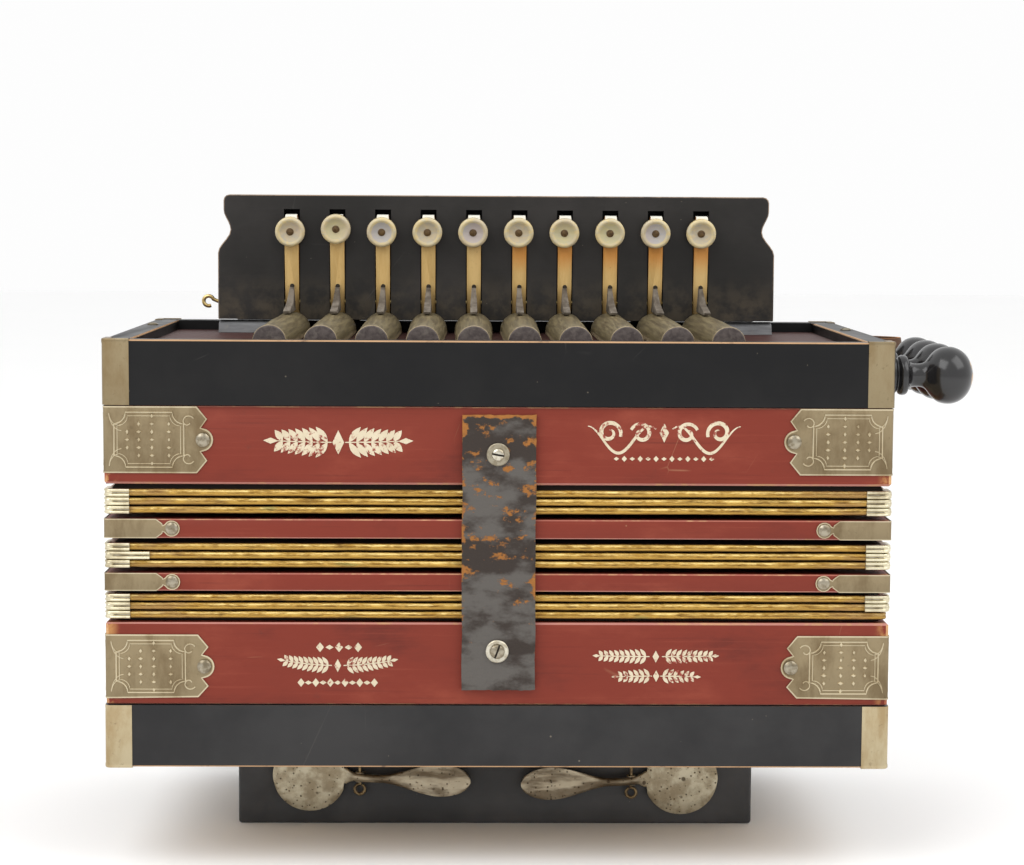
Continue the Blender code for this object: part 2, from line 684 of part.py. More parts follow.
def build_air_button(paints):
    """A push button whose inner pad closes the vent in the box's end wall."""
    wall_in = BOX_HALF_W - BOX_WALL
    pad, stem, cap = 11.0 * MM, 2.5 * MM, 6.5 * MM
    profile = [(wall_in - 3 * MM, 0), (wall_in - 3 * MM, pad), (wall_in - GAP, pad)]
    profile += [(wall_in - GAP, stem), (BOX_HALF_W + 1.0 * MM, stem), (BOX_HALF_W + 1.0 * MM, cap)]
    profile += [(BOX_HALF_W + 3.6 * MM, cap), (BOX_HALF_W + 4.4 * MM, cap - 1.2 * MM)]
    profile.append((BOX_HALF_W + 4.4 * MM, 0))
    bm = lathe_mesh(profile, (0, AIR_BUTTON_Y, AIR_BUTTON_Z), (1, 0, 0), 16)
    button = add_object("air_button", bm, paints["black_wood"], smooth=True)
    hang_on(button, add_pivot("air_pivot", (BOX_HALF_W, AIR_BUTTON_Y, AIR_BUTTON_Z)))


def spoon_half_height(along):
    """Half height of the spoon at a distance from its disc's centre, towards the bowl."""
    neck = 1.5 * MM
    bowl = 7.6 * MM
    length = SPOON_DISC_X - SPOON_TIP_X
    shoulder, widest = 28.0 * MM, 52.0 * MM
    if along < SPOON_DISC_RADIUS - 1 * MM:
        return math.sqrt(SPOON_DISC_RADIUS ** 2 - along ** 2)
    if along < shoulder:
        flare = max(1 - (along - SPOON_DISC_RADIUS) / (5 * MM), 0.0)
        return neck + 1.6 * MM * min(flare, 1.0) ** 2
    if along < widest:
        t = (along - shoulder) / (widest - shoulder)
        return neck + (bowl - neck) * (3 * t ** 2 - 2 * t ** 3)
    t = (along - widest) / (length - widest)
    return bowl * math.sqrt(max(1 - t ** 2, 0.06))


def build_spoon(name, side, paints):
    """Flat disc over the tone hole, narrow neck over the axle, shallow bowl for the finger."""
    radius = SPOON_DISC_RADIUS
    stations = [-math.cos(math.pi * k / 12) * radius * 0.985 for k in range(12)]
    stations += [(15.5 + 2.6 * k) * MM for k in range(15)]
    stations += [(53.5 + 10.4 * math.sin(math.pi / 2 * k / 6)) * MM for k in range(7)]
    sections = []
    for along in stations:
        half = spoon_half_height(along)
        rise = min(max((along - 12 * MM) / (12 * MM), 0.0), 1.0)
        front = BOX_FRONT_Y - 3.0 * MM - 4.2 * MM * (3 * rise ** 2 - 2 * rise ** 3)
        x = side * (SPOON_DISC_X - along)
        centre = spoon_z(side) - SPOON_DROOP * max(along, 0.0)
        corners = [(front, -half), (front, half)]
        corners += [(front + SPOON_PLATE, half), (front + SPOON_PLATE, -half)]
        sections.append([(x, y, centre + dz) for y, dz in corners])
    spoon = add_object(name, loft_mesh(sections), paints["steel"], smooth=True)
    pivot_y = BOX_FRONT_Y - SPOON_AXLE_PROUD
    pivot_z = spoon_z(side) - SPOON_DROOP * (SPOON_DISC_X - SPOON_PIVOT_X)
    place = Matrix.Translation((side * SPOON_PIVOT_X, pivot_y, pivot_z))
    knuckle = bmesh.new()
    bmesh.ops.create_cone(
        knuckle, cap_ends=True, segments=12, radius1=1.9 * MM, radius2=1.9 * MM,
        depth=4 * MM, matrix=place)
    join_on(spoon, knuckle, paints["steel"])
    bore = bmesh.new()
    bmesh.ops.create_cone(
        bore, cap_ends=True, segments=12, radius1=SPOON_BORE, radius2=SPOON_BORE,
        depth=20 * MM, matrix=place)
    cut(spoon, bore, paints["steel"])
    hang_on(spoon, add_pivot(name + "_pivot", (side * SPOON_PIVOT_X, pivot_y, pivot_z)))


def build_spoon_axle(name, side, paints):
    """A wire through the spoon's knuckle, its top turned to the box, its foot an open eye."""
    x = side * SPOON_PIVOT_X
    y = BOX_FRONT_Y - SPOON_AXLE_PROUD
    middle = spoon_z(side)
    top = middle + 7.0 * MM
    points = [(x, BOX_FRONT_Y - GAP, top), (x, BOX_FRONT_Y - 2.4 * MM, top)]
    points += [(x, y, top - 1.2 * MM), (x, y, middle), (x, y, middle - 3.2 * MM)]
    eye_radius = 2.0 * MM
    eye_z = middle - 5.6 * MM
    for k in range(11):
        angle = math.radians(75 + 28 * k)
        eye_x = x - side * eye_radius * math.cos(angle)
        points.append((eye_x, y, eye_z + eye_radius * math.sin(angle)))
    wire_object(name, points, SPOON_WIRE, paints["brass_wire"])


# ------------------------------------------------------------------- straps
def strap_front():
    return -HALF_D + FRAME_INSET - GAP


def strap_plate(z_low, z_high):
    back = strap_front()
    half = STRAP_WIDTH / 2
    return box_mesh((-half, back - STRAP_THICKNESS, z_low), (half, back, z_high))


def screw_hole(z):
    bore = bmesh.new()
    turn = Matrix.Translation((0, strap_front(), z)) @ Matrix.Rotation(math.pi / 2, 4, "X")
    bmesh.ops.create_cone(
        bore, cap_ends=True, segments=12, radius1=2.1 * MM, radius2=2.1 * MM,
        depth=STRAP_THICKNESS * 4, matrix=turn)
    return bore


def build_strap_screw(name, z, paints):
    """Round head on a washer, with a short shank in the strap's hole."""
    front = STRAP_THICKNESS + GAP
    head = [(0.0, 0.0), (0.0, 1.7), (front / MM, 1.7), (front / MM, 4.35), (front / MM + 0.8, 4.35)]
    head += [(front / MM + 0.8, 2.6), (front / MM + 1.7, 2.3), (front / MM + 2.3, 1.3)]
    head.append((front / MM + 2.4, 0.0))
    profile = [(along * MM, radius * MM) for along, radius in head]
    bm = lathe_mesh(profile, (0, strap_front() - GAP, z), (0, -1, 0), 16)
    return add_object(name, bm, paints["steel"], smooth=True)


def build_bellows_strap(paints):
    """The closing strap: a tail held by the lower screw and a flap that folds down at the front."""
    tail = add_object("strap_tail", strap_plate(STRAP_BOTTOM, STRAP_BEND_Z - GAP), paints["leather"])
    cut(tail, screw_hole(LOWER_SCREW_Z), paints["leather"])
    flap = add_object("bellows_strap", strap_plate(STRAP_BEND_Z, STRAP_TOP), paints["leather"])
    cut(flap, screw_hole(UPPER_SCREW_Z), paints["leather"])
    upper = build_strap_screw("strap_screw", UPPER_SCREW_Z, paints)
    pivot = add_pivot("strap_pivot", (0, strap_front() - STRAP_THICKNESS, STRAP_BEND_Z))
    hang_on(flap, pivot)
    hang_on(upper, pivot)


def bowed_path(foot, half_span, height, steps):
    """Half a strap loop's inner side: flat feet on the wall and a smooth bow between them."""
    points = [(-half_span - foot, 0.0), (-half_span, 0.0)]
    for k in range(1, steps):
        t = k / steps
        points.append((-half_span + 2 * half_span * t, height * math.sin(math.pi * t) ** 0.8))
    points += [(half_span, 0.0), (half_span + foot, 0.0)]
    return points


def build_hand_strap(paints):
    """Leather strap across the rear of the bass box for the left hand."""
    path = bowed_path(16 * MM, 70 * MM, 21 * MM, 14)
    placed = [(x, HALF_D + GAP + bow) for x, bow in path]
    bm = ribbon_mesh(placed, STRAP_THICKNESS, 6.5 * MM, 32.5 * MM)
    add_object("hand_strap", bm, paints["leather"])


def build_thumb_strap(paints):
    """Small leather loop on the right wall of the treble casing."""
    path = bowed_path(6 * MM, 14 * MM, 21 * MM, 10)
    centre_y = 42 * MM
    placed = [(HALF_W + GAP + bow, centre_y - along) for along, bow in path]
    bm = ribbon_mesh(placed, 2.2 * MM, Z_RIM - 21.0 * MM, Z_RIM - 4.4 * MM)
    add_object("thumb_strap", bm, paints["leather"])


def build():
    for old in list(bpy.data.objects):
        bpy.data.objects.remove(old, do_unlink=True)
    paints = make_materials()
    build_bass_box(paints)
    build_bass_board(paints)
    build_bass_reed_block(paints)
    build_bass_casing(paints)
    build_bellows_frames(paints)
    build_bellows(paints)
    build_treble_casing(paints)
    build_pallet_board(paints)
    build_treble_reed_block(paints)
    build_fingerboard(paints)
    build_key_axle(paints)
    build_keys(paints)
    for index in range(STOP_COUNT):
        build_stop(index, paints)
    for label, side in (("left", -1), ("right", 1)):
        build_spoon(f"bass_spoon_{label}", side, paints)
        build_spoon_axle(f"spoon_axle_{label}", side, paints)
    build_air_button(paints)
    build_bellows_strap(paints)
    build_hand_strap(paints)
    build_thumb_strap(paints)


build()
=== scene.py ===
import random
from math import atan, copysign, cos, pi, radians, sin, sqrt

import bmesh
import bpy
from mathutils import Matrix, Vector, noise
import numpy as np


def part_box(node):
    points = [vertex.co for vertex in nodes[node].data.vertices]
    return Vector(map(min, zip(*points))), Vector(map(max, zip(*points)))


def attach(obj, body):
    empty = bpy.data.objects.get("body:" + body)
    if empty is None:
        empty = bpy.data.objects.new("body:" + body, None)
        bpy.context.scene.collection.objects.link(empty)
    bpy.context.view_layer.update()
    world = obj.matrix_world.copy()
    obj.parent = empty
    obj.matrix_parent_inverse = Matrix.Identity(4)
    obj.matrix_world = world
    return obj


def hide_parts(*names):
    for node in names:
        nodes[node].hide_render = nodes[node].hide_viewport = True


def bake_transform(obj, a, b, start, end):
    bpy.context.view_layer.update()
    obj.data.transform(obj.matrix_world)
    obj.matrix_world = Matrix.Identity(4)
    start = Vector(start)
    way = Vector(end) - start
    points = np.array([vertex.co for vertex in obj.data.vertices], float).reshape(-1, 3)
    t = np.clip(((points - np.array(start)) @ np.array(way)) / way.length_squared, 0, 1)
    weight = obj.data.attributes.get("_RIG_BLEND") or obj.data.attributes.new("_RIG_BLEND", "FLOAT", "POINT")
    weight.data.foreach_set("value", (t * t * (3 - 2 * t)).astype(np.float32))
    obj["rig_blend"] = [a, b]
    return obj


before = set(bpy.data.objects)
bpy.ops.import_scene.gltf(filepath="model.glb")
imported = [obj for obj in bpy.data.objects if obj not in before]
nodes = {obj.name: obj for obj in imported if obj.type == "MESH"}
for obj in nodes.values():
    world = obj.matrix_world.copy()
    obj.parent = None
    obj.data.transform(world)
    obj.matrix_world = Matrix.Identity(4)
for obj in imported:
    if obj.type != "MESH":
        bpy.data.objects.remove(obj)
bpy.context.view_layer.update()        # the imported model, which nothing here moves
mm = 0.001

# Places that many pieces share, read from the frame
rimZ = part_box("treble_casing")[1].z
halfWidth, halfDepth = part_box("treble_casing")[1].xy
frameHalfWidth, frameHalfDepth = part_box("treble_frame")[1].xy
frameSwell = 0.5 * mm    # the frames have swollen until they almost meet the casings
frameHalfWidth += frameSwell
frameCornerRadius = 1.1 * mm
fourCorners = [(signX, signY) for signX in (-1, 1) for signY in (-1, 1)]
keyNames = [f"{i + 1:02d}" for i in range(10)]
keyX = [sum(corner.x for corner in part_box("key_button_" + k)) / 2 for k in keyNames]


# ---- mesh helpers

def makePiece(name, bm, keys, sharpAngle=35):
    # keys names the finishes that the faces' numbers stand for
    bmesh.ops.remove_doubles(bm, verts=bm.verts, dist=1e-6)
    bmesh.ops.recalc_face_normals(bm, faces=bm.faces)
    mesh = bpy.data.meshes.new(name)
    bm.to_mesh(mesh)
    bm.free()
    return meshPiece(name, mesh, keys, sharpAngle)


def meshPiece(name, mesh, keys, sharpAngle=35):
    for key in keys:
        mesh.materials.append(finishes[key])
    mesh.shade_smooth()
    mesh.set_sharp_from_angle(angle=radians(sharpAngle))
    piece = bpy.data.objects.new(name, mesh)
    bpy.context.scene.collection.objects.link(piece)
    return piece


def settle(piece, body, slot, *replaced):
    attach(piece, body)
    if replaced:
        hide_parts(*replaced)


def fit(name, bm, keys, body, slot, *replaced, sharpAngle=35):
    settle(makePiece(name, bm, keys, sharpAngle), body, slot, *replaced)


def joinRings(bm, rings, looped=False, finish=0):
    # looped joins the last ring to the first, where both would otherwise be capped
    made = [[bm.verts.new(point) for point in ring] for ring in rings]
    count = len(made[0])
    pairs = list(zip(made, made[1:]))
    if looped:
        pairs.append((made[-1], made[0]))
    for ring, following in pairs:
        for i in range(count):
            j = (i + 1) % count
            face = bm.faces.new((ring[i], ring[j], following[j], following[i]))
            face.material_index = finish
    if not looped:
        for ring in (made[0], made[-1]):
            bm.faces.new(ring).material_index = finish
    return made


def addBlock(bm, low, high):
    corners = [(low[0], low[1]), (high[0], low[1]), (high[0], high[1]), (low[0], high[1])]
    joinRings(bm, [[(x, y, z) for x, y in corners] for z in (low[2], high[2])])


def addTurned(bm, profile, centre, axis, segments, finish=0):
    # profile holds (run, radius) pairs, and a radius of 0 closes the shape on its axis
    basis = Vector(axis).to_track_quat("Z", "Y").to_matrix()
    rings = []
    for run, radius in profile:
        if radius == 0:
            rings.append([bm.verts.new(Vector(centre) + basis @ Vector((0, 0, run)))])
            continue
        ring = []
        for k in range(segments):
            angle = 2 * pi * k / segments
            spoke = Vector((radius * cos(angle), radius * sin(angle), run))
            ring.append(bm.verts.new(Vector(centre) + basis @ spoke))
        rings.append(ring)
    for ring, following in zip(rings, rings[1:]):
        for k in range(segments):
            n = (k + 1) % segments
            if len(ring) == 1:
                corners = (ring[0], following[n], following[k])
            elif len(following) == 1:
                corners = (ring[k], ring[n], following[0])
            else:
                corners = (ring[k], ring[n], following[n], following[k])
            bm.faces.new(corners).material_index = finish


def smoothLine(points, steps):
    # a Catmull-Rom curve through the points
    points = [Vector(p) for p in points]
    line = []
    for i in range(len(points) - 1):
        before = points[max(i - 1, 0)]
        start, end = points[i], points[i + 1]
        after = points[min(i + 2, len(points) - 1)]
        for k in range(steps):
            t = k / steps
            line.append(
                0.5 * (2 * start + (end - before) * t
                       + (2 * before - 5 * start + 4 * end - after) * t ** 2
                       + (3 * start - before - 3 * end + after) * t ** 3))
    return line + [points[-1]]


def addWire(bm, points, radius, sides):
    points = [Vector(p) for p in points]
    rings = []
    across = None
    for i, point in enumerate(points):
        forward = (points[min(i + 1, len(points) - 1)] - points[max(i - 1, 0)]).normalized()
        if across is None:
            across = forward.orthogonal().normalized()
        across = (across - forward * across.dot(forward)).normalized()
        other = forward.cross(across)
        ring = []
        for k in range(sides):
            angle = 2 * pi * k / sides
            ring.append(point + (across * cos(angle) + other * sin(angle)) * radius)
        rings.append(ring)
    joinRings(bm, rings)


def softenEdges(bm, width, segments=2, finish=-1, angle=30, choose=None, clamp=True):
    edges = []
    for edge in bm.edges:
        if len(edge.link_faces) != 2 or edge.calc_face_angle(0) < radians(angle):
            continue
        if choose is None or choose(edge):
            edges.append(edge)
    bmesh.ops.bevel(
        bm, geom=edges, offset=width, offset_type="OFFSET", segments=segments,
        profile=0.5, affect="EDGES", material=finish, clamp_overlap=clamp)


def outerCorners(halfX, halfY, tall):
    # chooses the upright edges at the corners of a box
    def choose(edge):
        outside = all(abs(v.co.x) > halfX - mm and abs(v.co.y) > halfY - mm for v in edge.verts)
        return outside and abs(edge.verts[0].co.z - edge.verts[1].co.z) > tall

    return choose


def copyOfNode(name):
    bm = bmesh.new()
    bm.from_mesh(nodes[name].data)
    bmesh.ops.remove_doubles(bm, verts=bm.verts, dist=2e-6)
    bmesh.ops.dissolve_limit(bm, angle_limit=radians(0.5), verts=bm.verts, edges=bm.edges)
    return bm


def carve(piece, cutters):
    # cut the cutters' shapes out of a piece, and keep the result as its plain mesh; the cut faces take the
    # dark slot finish, dirt and a painted shade in the cut
    tool = makePiece("carving_tool", cutters, ["slot"])
    modifier = piece.modifiers.new("carve", "BOOLEAN")
    modifier.operation = "DIFFERENCE"
    modifier.object = tool
    modifier.solver = "EXACT"
    modifier.material_mode = "TRANSFER"
    evaluated = piece.evaluated_get(bpy.context.evaluated_depsgraph_get())
    mesh = bpy.data.meshes.new_from_object(evaluated)
    piece.modifiers.clear()
    piece.data = mesh
    mesh.shade_smooth()
    mesh.set_sharp_from_angle(angle=radians(30))
    bpy.data.objects.remove(tool)


# ---- a finish is a material and its nodes; sizes are those of its pattern, in metres on the piece

class Finish:
    def __init__(self, name, roughness=0.5, metallic=0.0):
        self.material = bpy.data.materials.new(name)
        self.material.use_nodes = True
        self.tree = self.material.node_tree
        self.shader = self.tree.nodes["Principled BSDF"]
        self.set("Roughness", roughness)
        self.set("Metallic", metallic)
        if not metallic:
            self.set("Specular IOR Level", 0.22)

    def feed(self, socket, value):
        if isinstance(value, bpy.types.NodeSocket):
            self.tree.links.new(value, socket)
        elif isinstance(value, tuple) and socket.type == "RGBA":
            socket.default_value = (*value, 1.0)
        else:
            socket.default_value = value

    def set(self, label, value):
        self.feed(self.shader.inputs[label], value)

    def texture(self, kind, size, turn, shift):
        coords = self.tree.nodes.new("ShaderNodeTexCoord")
        mapping = self.tree.nodes.new("ShaderNodeMapping")
        mapping.vector_type = "TEXTURE"
        mapping.inputs["Scale"].default_value = size if isinstance(size, tuple) else (size,) * 3
        mapping.inputs["Rotation"].default_value = [radians(a) for a in turn]
        mapping.inputs["Location"].default_value = shift
        self.tree.links.new(coords.outputs["Object"], mapping.inputs["Vector"])
        texture = self.tree.nodes.new(kind)
        self.tree.links.new(mapping.outputs["Vector"], texture.inputs["Vector"])
        texture.inputs["Scale"].default_value = 1.0
        return texture

    def cloud(self, size, shift=(0, 0, 0), detail=3.0, rough=0.5, twist=0.0):
        texture = self.texture("ShaderNodeTexNoise", size, (0, 0, 0), shift)
        texture.inputs["Detail"].default_value = detail
        texture.inputs["Roughness"].default_value = rough
        texture.inputs["Distortion"].default_value = twist
        return texture.outputs["Fac"]

    def cells(self, size, turn=(0, 0, 0), shift=(0, 0, 0), feature="F1"):
        texture = self.texture("ShaderNodeTexVoronoi", size, turn, shift)
        texture.feature = feature
        return texture.outputs

    def between(self, value, low, high):
        # 0 at low and 1 at high, with a soft step from one to the other
        node = self.tree.nodes.new("ShaderNodeMapRange")
        node.interpolation_type = "SMOOTHSTEP"
        self.feed(node.inputs["Value"], value)
        node.inputs["From Min"].default_value = low
        node.inputs["From Max"].default_value = high
        return node.outputs["Result"]

    def scaled(self, value, low, high):
        node = self.tree.nodes.new("ShaderNodeMapRange")
        self.feed(node.inputs["Value"], value)
        node.inputs["To Min"].default_value = low
        node.inputs["To Max"].default_value = high
        return node.outputs["Result"]

    def calc(self, kind, first, second=0.0):
        node = self.tree.nodes.new("ShaderNodeMath")
        node.operation = kind
        node.use_clamp = kind in ("ADD", "SUBTRACT")
        self.feed(node.inputs[0], first)
        self.feed(node.inputs[1], second)
        return node.outputs[0]

    def times(self, first, second):
        return self.calc("MULTIPLY", first, second)

    def plus(self, first, second):
        return self.calc("ADD", first, second)

    def mix(self, share, first, second):
        node = self.tree.nodes.new("ShaderNodeMix")
        node.data_type = "RGBA"
        self.feed(node.inputs[0], share)
        self.feed(node.inputs[6], first)
        self.feed(node.inputs[7], second)
        return node.outputs[2]

    def over(self, colour, layer, share, strength=None):
        # lays one colour over another where the pattern called share is high
        if strength is not None:
            share = self.times(share, strength)
        return self.mix(share, colour, layer)

    def along(self, axis):
        # the piece's own X, Y or Z in metres
        coords = self.tree.nodes.new("ShaderNodeTexCoord")
        split = self.tree.nodes.new("ShaderNodeSeparateXYZ")
        self.tree.links.new(coords.outputs["Object"], split.inputs[0])
        return split.outputs[axis]

    def fromMiddle(self, axis):
        return self.calc("ABSOLUTE", self.along(axis))

    def raised(self, height, depth, strength=1.0):
        bump = self.tree.nodes.new("ShaderNodeBump")
        bump.inputs["Distance"].default_value = depth
        bump.inputs["Strength"].default_value = strength
        self.tree.links.new(height, bump.inputs["Height"])
        earlier = self.shader.inputs["Normal"].links
        if earlier:
            self.tree.links.new(earlier[0].from_socket, bump.inputs["Normal"])
        self.set("Normal", bump.outputs["Normal"])

    def scratches(self, lean, gap, length, thin, shift, amount=0.6):
        # thin lines that run up the face, leaning by an angle, kept only in patches
        lines = self.cells((gap, gap, length), (0, lean, 0), shift, "DISTANCE_TO_EDGE")
        line = self.between(lines["Distance"], thin / gap, 0.0)
        return self.times(line, self.between(self.cloud(gap * 1.2, shift), amount, amount + 0.08))

    def specks(self, spacing, radius, shift=(0, 0, 0), share=0.5):
        dots = self.cells(spacing, shift=shift)
        dot = self.between(dots["Distance"], radius / spacing, radius / spacing * 0.5)
        chance = self.tree.nodes.new("ShaderNodeSeparateColor")
        self.tree.links.new(dots["Color"], chance.inputs[0])
        return self.times(dot, self.between(chance.outputs[0], share, share + 0.01))


# ---- finishes

def blackLacquer(name, deep, cloudy, haze=None):
    look = dict(scratch=(0.06, 0.056, 0.052), speck=(0.20, 0.17, 0.13), haze=(0.095, 0.075, 0.05))
    coat = Finish(name)
    tone = coat.cloud(0.05, detail=5, rough=0.6)
    colour = coat.mix(coat.between(tone, 0.35, 0.7), deep, cloudy)
    marks = coat.scratches(6, 0.045, 0.20, 0.00022, (0.3, 0.1, 0.2), 0.60)
    marks = coat.plus(marks, coat.scratches(38, 0.05, 0.16, 0.00018, (0.7, 0.2, 0.5), 0.62))
    marks = coat.plus(marks, coat.scratches(84, 0.03, 0.15, 0.00016, (0.1, 0.6, 0.9), 0.60))
    if haze:             # brown dust that has settled towards the foot
        settled = coat.times(coat.between(coat.along("Z"), haze + 0.02, haze - 0.002),
                             coat.between(coat.cloud(0.008, detail=5, rough=0.65), 0.35, 0.65))
        colour = coat.over(colour, look["haze"], settled, 0.55)
    colour = coat.over(colour, look["scratch"], marks, 0.5)
    dust = coat.plus(coat.specks(0.011, 0.0005, share=0.6),
                     coat.specks(0.0045, 0.00022, (0.5, 0.5, 0.5), 0.72))
    colour = coat.over(colour, look["speck"], dust, 0.7)
    coat.set("Base Color", colour)
    fine = coat.cloud(0.012, detail=6, rough=0.7)
    coat.set("Roughness", coat.scaled(fine, 0.26, 0.52))
    coat.raised(coat.cloud((0.03, 0.03, 0.0022), detail=4), 0.00012, 0.5)
    coat.raised(marks, -0.00006, 0.6)
    return coat.material


def wornEdge(name, paint, wood, low, high, roughness=0.55):
    # an edge where paint has rubbed through to the wood; more wood shows above low..high
    coat = Finish(name)
    wear = coat.plus(coat.times(coat.cloud(0.022, detail=4, rough=0.6), 0.6),
                     coat.times(coat.cloud(0.003, detail=3, rough=0.6), 0.4))
    grain = coat.cloud((0.012, 0.012, 0.0006), detail=3)
    bare = coat.mix(grain, tuple(c * 0.7 for c in wood), tuple(min(c * 1.25, 1) for c in wood))
    coat.set("Base Color", coat.mix(coat.between(wear, low, high), paint, bare))
    coat.set("Roughness", coat.scaled(wear, roughness - 0.15, roughness + 0.15))
    coat.raised(wear, 0.0003, 0.6)
    return coat.material


def redPaint():
    look = dict(main=(0.182, 0.027, 0.0145), deep=(0.105, 0.017, 0.0105), light=(0.265, 0.054, 0.030),
                chip=(0.42, 0.22, 0.12), dirt=(0.085, 0.030, 0.020), bare=(0.50, 0.25, 0.085))
    coat = Finish("brick_red_paint")
    tone = coat.cloud((0.07, 0.07, 0.03), detail=6, rough=0.62)
    colour = coat.mix(coat.between(tone, 0.5, 0.78), look["main"], look["light"])
    colour = coat.over(colour, look["deep"], coat.between(tone, 0.48, 0.25))
    brushed = coat.cloud((0.06, 0.06, 0.0013), detail=4, rough=0.6, shift=(0.4, 0.1, 0.3))
    colour = coat.over(colour, look["light"], coat.between(brushed, 0.56, 0.75), 0.35)
    colour = coat.over(colour, look["deep"], coat.between(brushed, 0.42, 0.28), 0.5)
    grime = coat.between(coat.cloud(0.009, detail=5, rough=0.65, shift=(0.9, 0.2, 0.1)), 0.62, 0.8)
    colour = coat.over(colour, look["dirt"], grime, 0.55)
    chips = coat.plus(coat.specks(0.010, 0.00045, share=0.62),
                      coat.scratches(82, 0.028, 0.10, 0.00024, (0.2, 0.7, 0.4), 0.60))
    chips = coat.plus(chips, coat.scratches(20, 0.04, 0.12, 0.00018, (0.6, 0.3, 0.8), 0.62))
    colour = coat.over(colour, look["chip"], chips, 0.4)
    near = coat.times(coat.between(coat.fromMiddle("X"), 0.1385, 0.1432),
                      coat.between(coat.fromMiddle("Y"), 0.0745, 0.0787))
    bare = coat.times(near, coat.between(coat.cloud(0.007, detail=5, rough=0.65), 0.42, 0.56))
    colour = coat.over(colour, look["bare"], bare, 0.85)
    coat.set("Base Color", colour)
    coat.set("Roughness", coat.scaled(tone, 0.36, 0.62))
    coat.raised(brushed, 0.00012, 0.5)
    coat.raised(chips, -0.00008, 0.6)
    return coat.material


def creamPaint():
    coat = Finish("cream_stencil_paint", 0.6)
    worn = coat.cloud(0.0022, detail=5, rough=0.7)
    broad = coat.cloud(0.02, detail=3)
    wear = coat.plus(coat.times(worn, 0.65), coat.times(broad, 0.35))
    colour = coat.mix(coat.cloud(0.006), (0.52, 0.43, 0.29), (0.72, 0.64, 0.48))
    coat.set("Base Color", coat.mix(coat.between(wear, 0.53, 0.60), colour, (0.27, 0.05, 0.033)))
    return coat.material


def nickelPlate(name, bright, tarnish, amount, roughness):
    coat = Finish(name, metallic=1.0)
    stain = coat.cloud((0.012, 0.012, 0.03), detail=6, rough=0.65)
    colour = coat.mix(coat.between(stain, amount - 0.14, amount + 0.14), tarnish, bright)
    bloom = coat.between(coat.cloud(0.0022, detail=4, rough=0.7, shift=(0.3, 0.4, 0.1)), 0.60, 0.76)
    colour = coat.over(colour, tuple(c * 0.45 for c in tarnish), bloom, 0.6)
    coat.set("Base Color", colour)
    coat.set("Roughness", coat.scaled(stain, roughness + 0.14, roughness - 0.1))
    coat.raised(coat.cloud(0.004, detail=4), 0.00016, 0.5)
    coat.raised(coat.cloud(0.0007, detail=2), 0.00002, 0.6)
    return coat.material


def goldFoil():
    look = dict(bright=(1.0, 0.80, 0.33), main=(0.46, 0.275, 0.06), brown=(0.11, 0.052, 0.016),
                green=(0.24, 0.22, 0.07), tan=(0.34, 0.20, 0.075))
    coat = Finish("gold_foil", metallic=0.85)
    tone = coat.cloud((0.016, 0.016, 0.0032), detail=7, rough=0.72)
    level = coat.tree.nodes.new("ShaderNodeAttribute")      # -1 at a band's foot, 1 at its top; it places the painted highlight and painted shade below
    level.attribute_name = "level"
    height = level.outputs["Fac"]
    colour = coat.mix(coat.between(tone, 0.46, 0.26), look["main"], look["brown"])
    # painted highlight along each band's crest, broken into flecks; painted shade in the groove below it, at
    # the band's foot and at its top. brown is also the foil's own darker tone
    crestHighlight = coat.times(coat.between(height, -0.02, 0.26), coat.between(height, 0.80, 0.5))
    fleck = coat.cloud((0.0045, 0.0045, 0.0012), detail=4, rough=0.65, shift=(0.5, 0.9, 0.4))
    shine = coat.times(coat.between(tone, 0.32, 0.56), coat.between(fleck, 0.36, 0.6))
    colour = coat.over(colour, look["bright"], coat.times(crestHighlight, shine))
    grooveShade = coat.times(coat.between(height, -0.28, -0.12), coat.between(height, 0.06, -0.08))
    colour = coat.over(colour, look["brown"], coat.times(grooveShade, coat.between(fleck, 0.62, 0.4)))
    colour = coat.over(colour, look["brown"], coat.between(height, -0.45, -0.95), 0.75)
    colour = coat.over(colour, look["brown"], coat.between(height, 0.78, 1.0), 0.6)
    ends = coat.times(coat.between(coat.fromMiddle("X"), 0.095, 0.128),
                      coat.between(coat.cloud((0.014, 0.014, 0.004), shift=(0.6, 0.2, 0.7)), 0.42, 0.6))
    colour = coat.over(colour, look["tan"], ends, 0.8)
    stain = coat.between(coat.cloud((0.02, 0.02, 0.003), shift=(0.3, 0.6, 0.2)), 0.62, 0.75)
    colour = coat.over(colour, look["green"], stain, 0.7)
    coat.set("Base Color", colour)
    coat.set("Roughness", coat.scaled(tone, 0.46, 0.24))
    coat.raised(coat.cloud((0.005, 0.005, 0.0012), detail=6, rough=0.7), 0.0011, 0.8)
    coat.raised(coat.cloud((0.0012, 0.0012, 0.0006), detail=2), 0.00012, 0.5)
    return coat.material


def foldCloth():
    coat = Finish("fold_cloth", 0.85)
    weave = coat.cells((0.0009, 0.0009, 0.0009))["Distance"]
    colour = coat.mix(coat.cloud(0.01), (0.010, 0.008, 0.007), (0.030, 0.022, 0.017))
    coat.set("Base Color", coat.mix(weave, colour, (0.02, 0.015, 0.012)))
    coat.raised(weave, 0.0001, 0.5)
    return coat.material


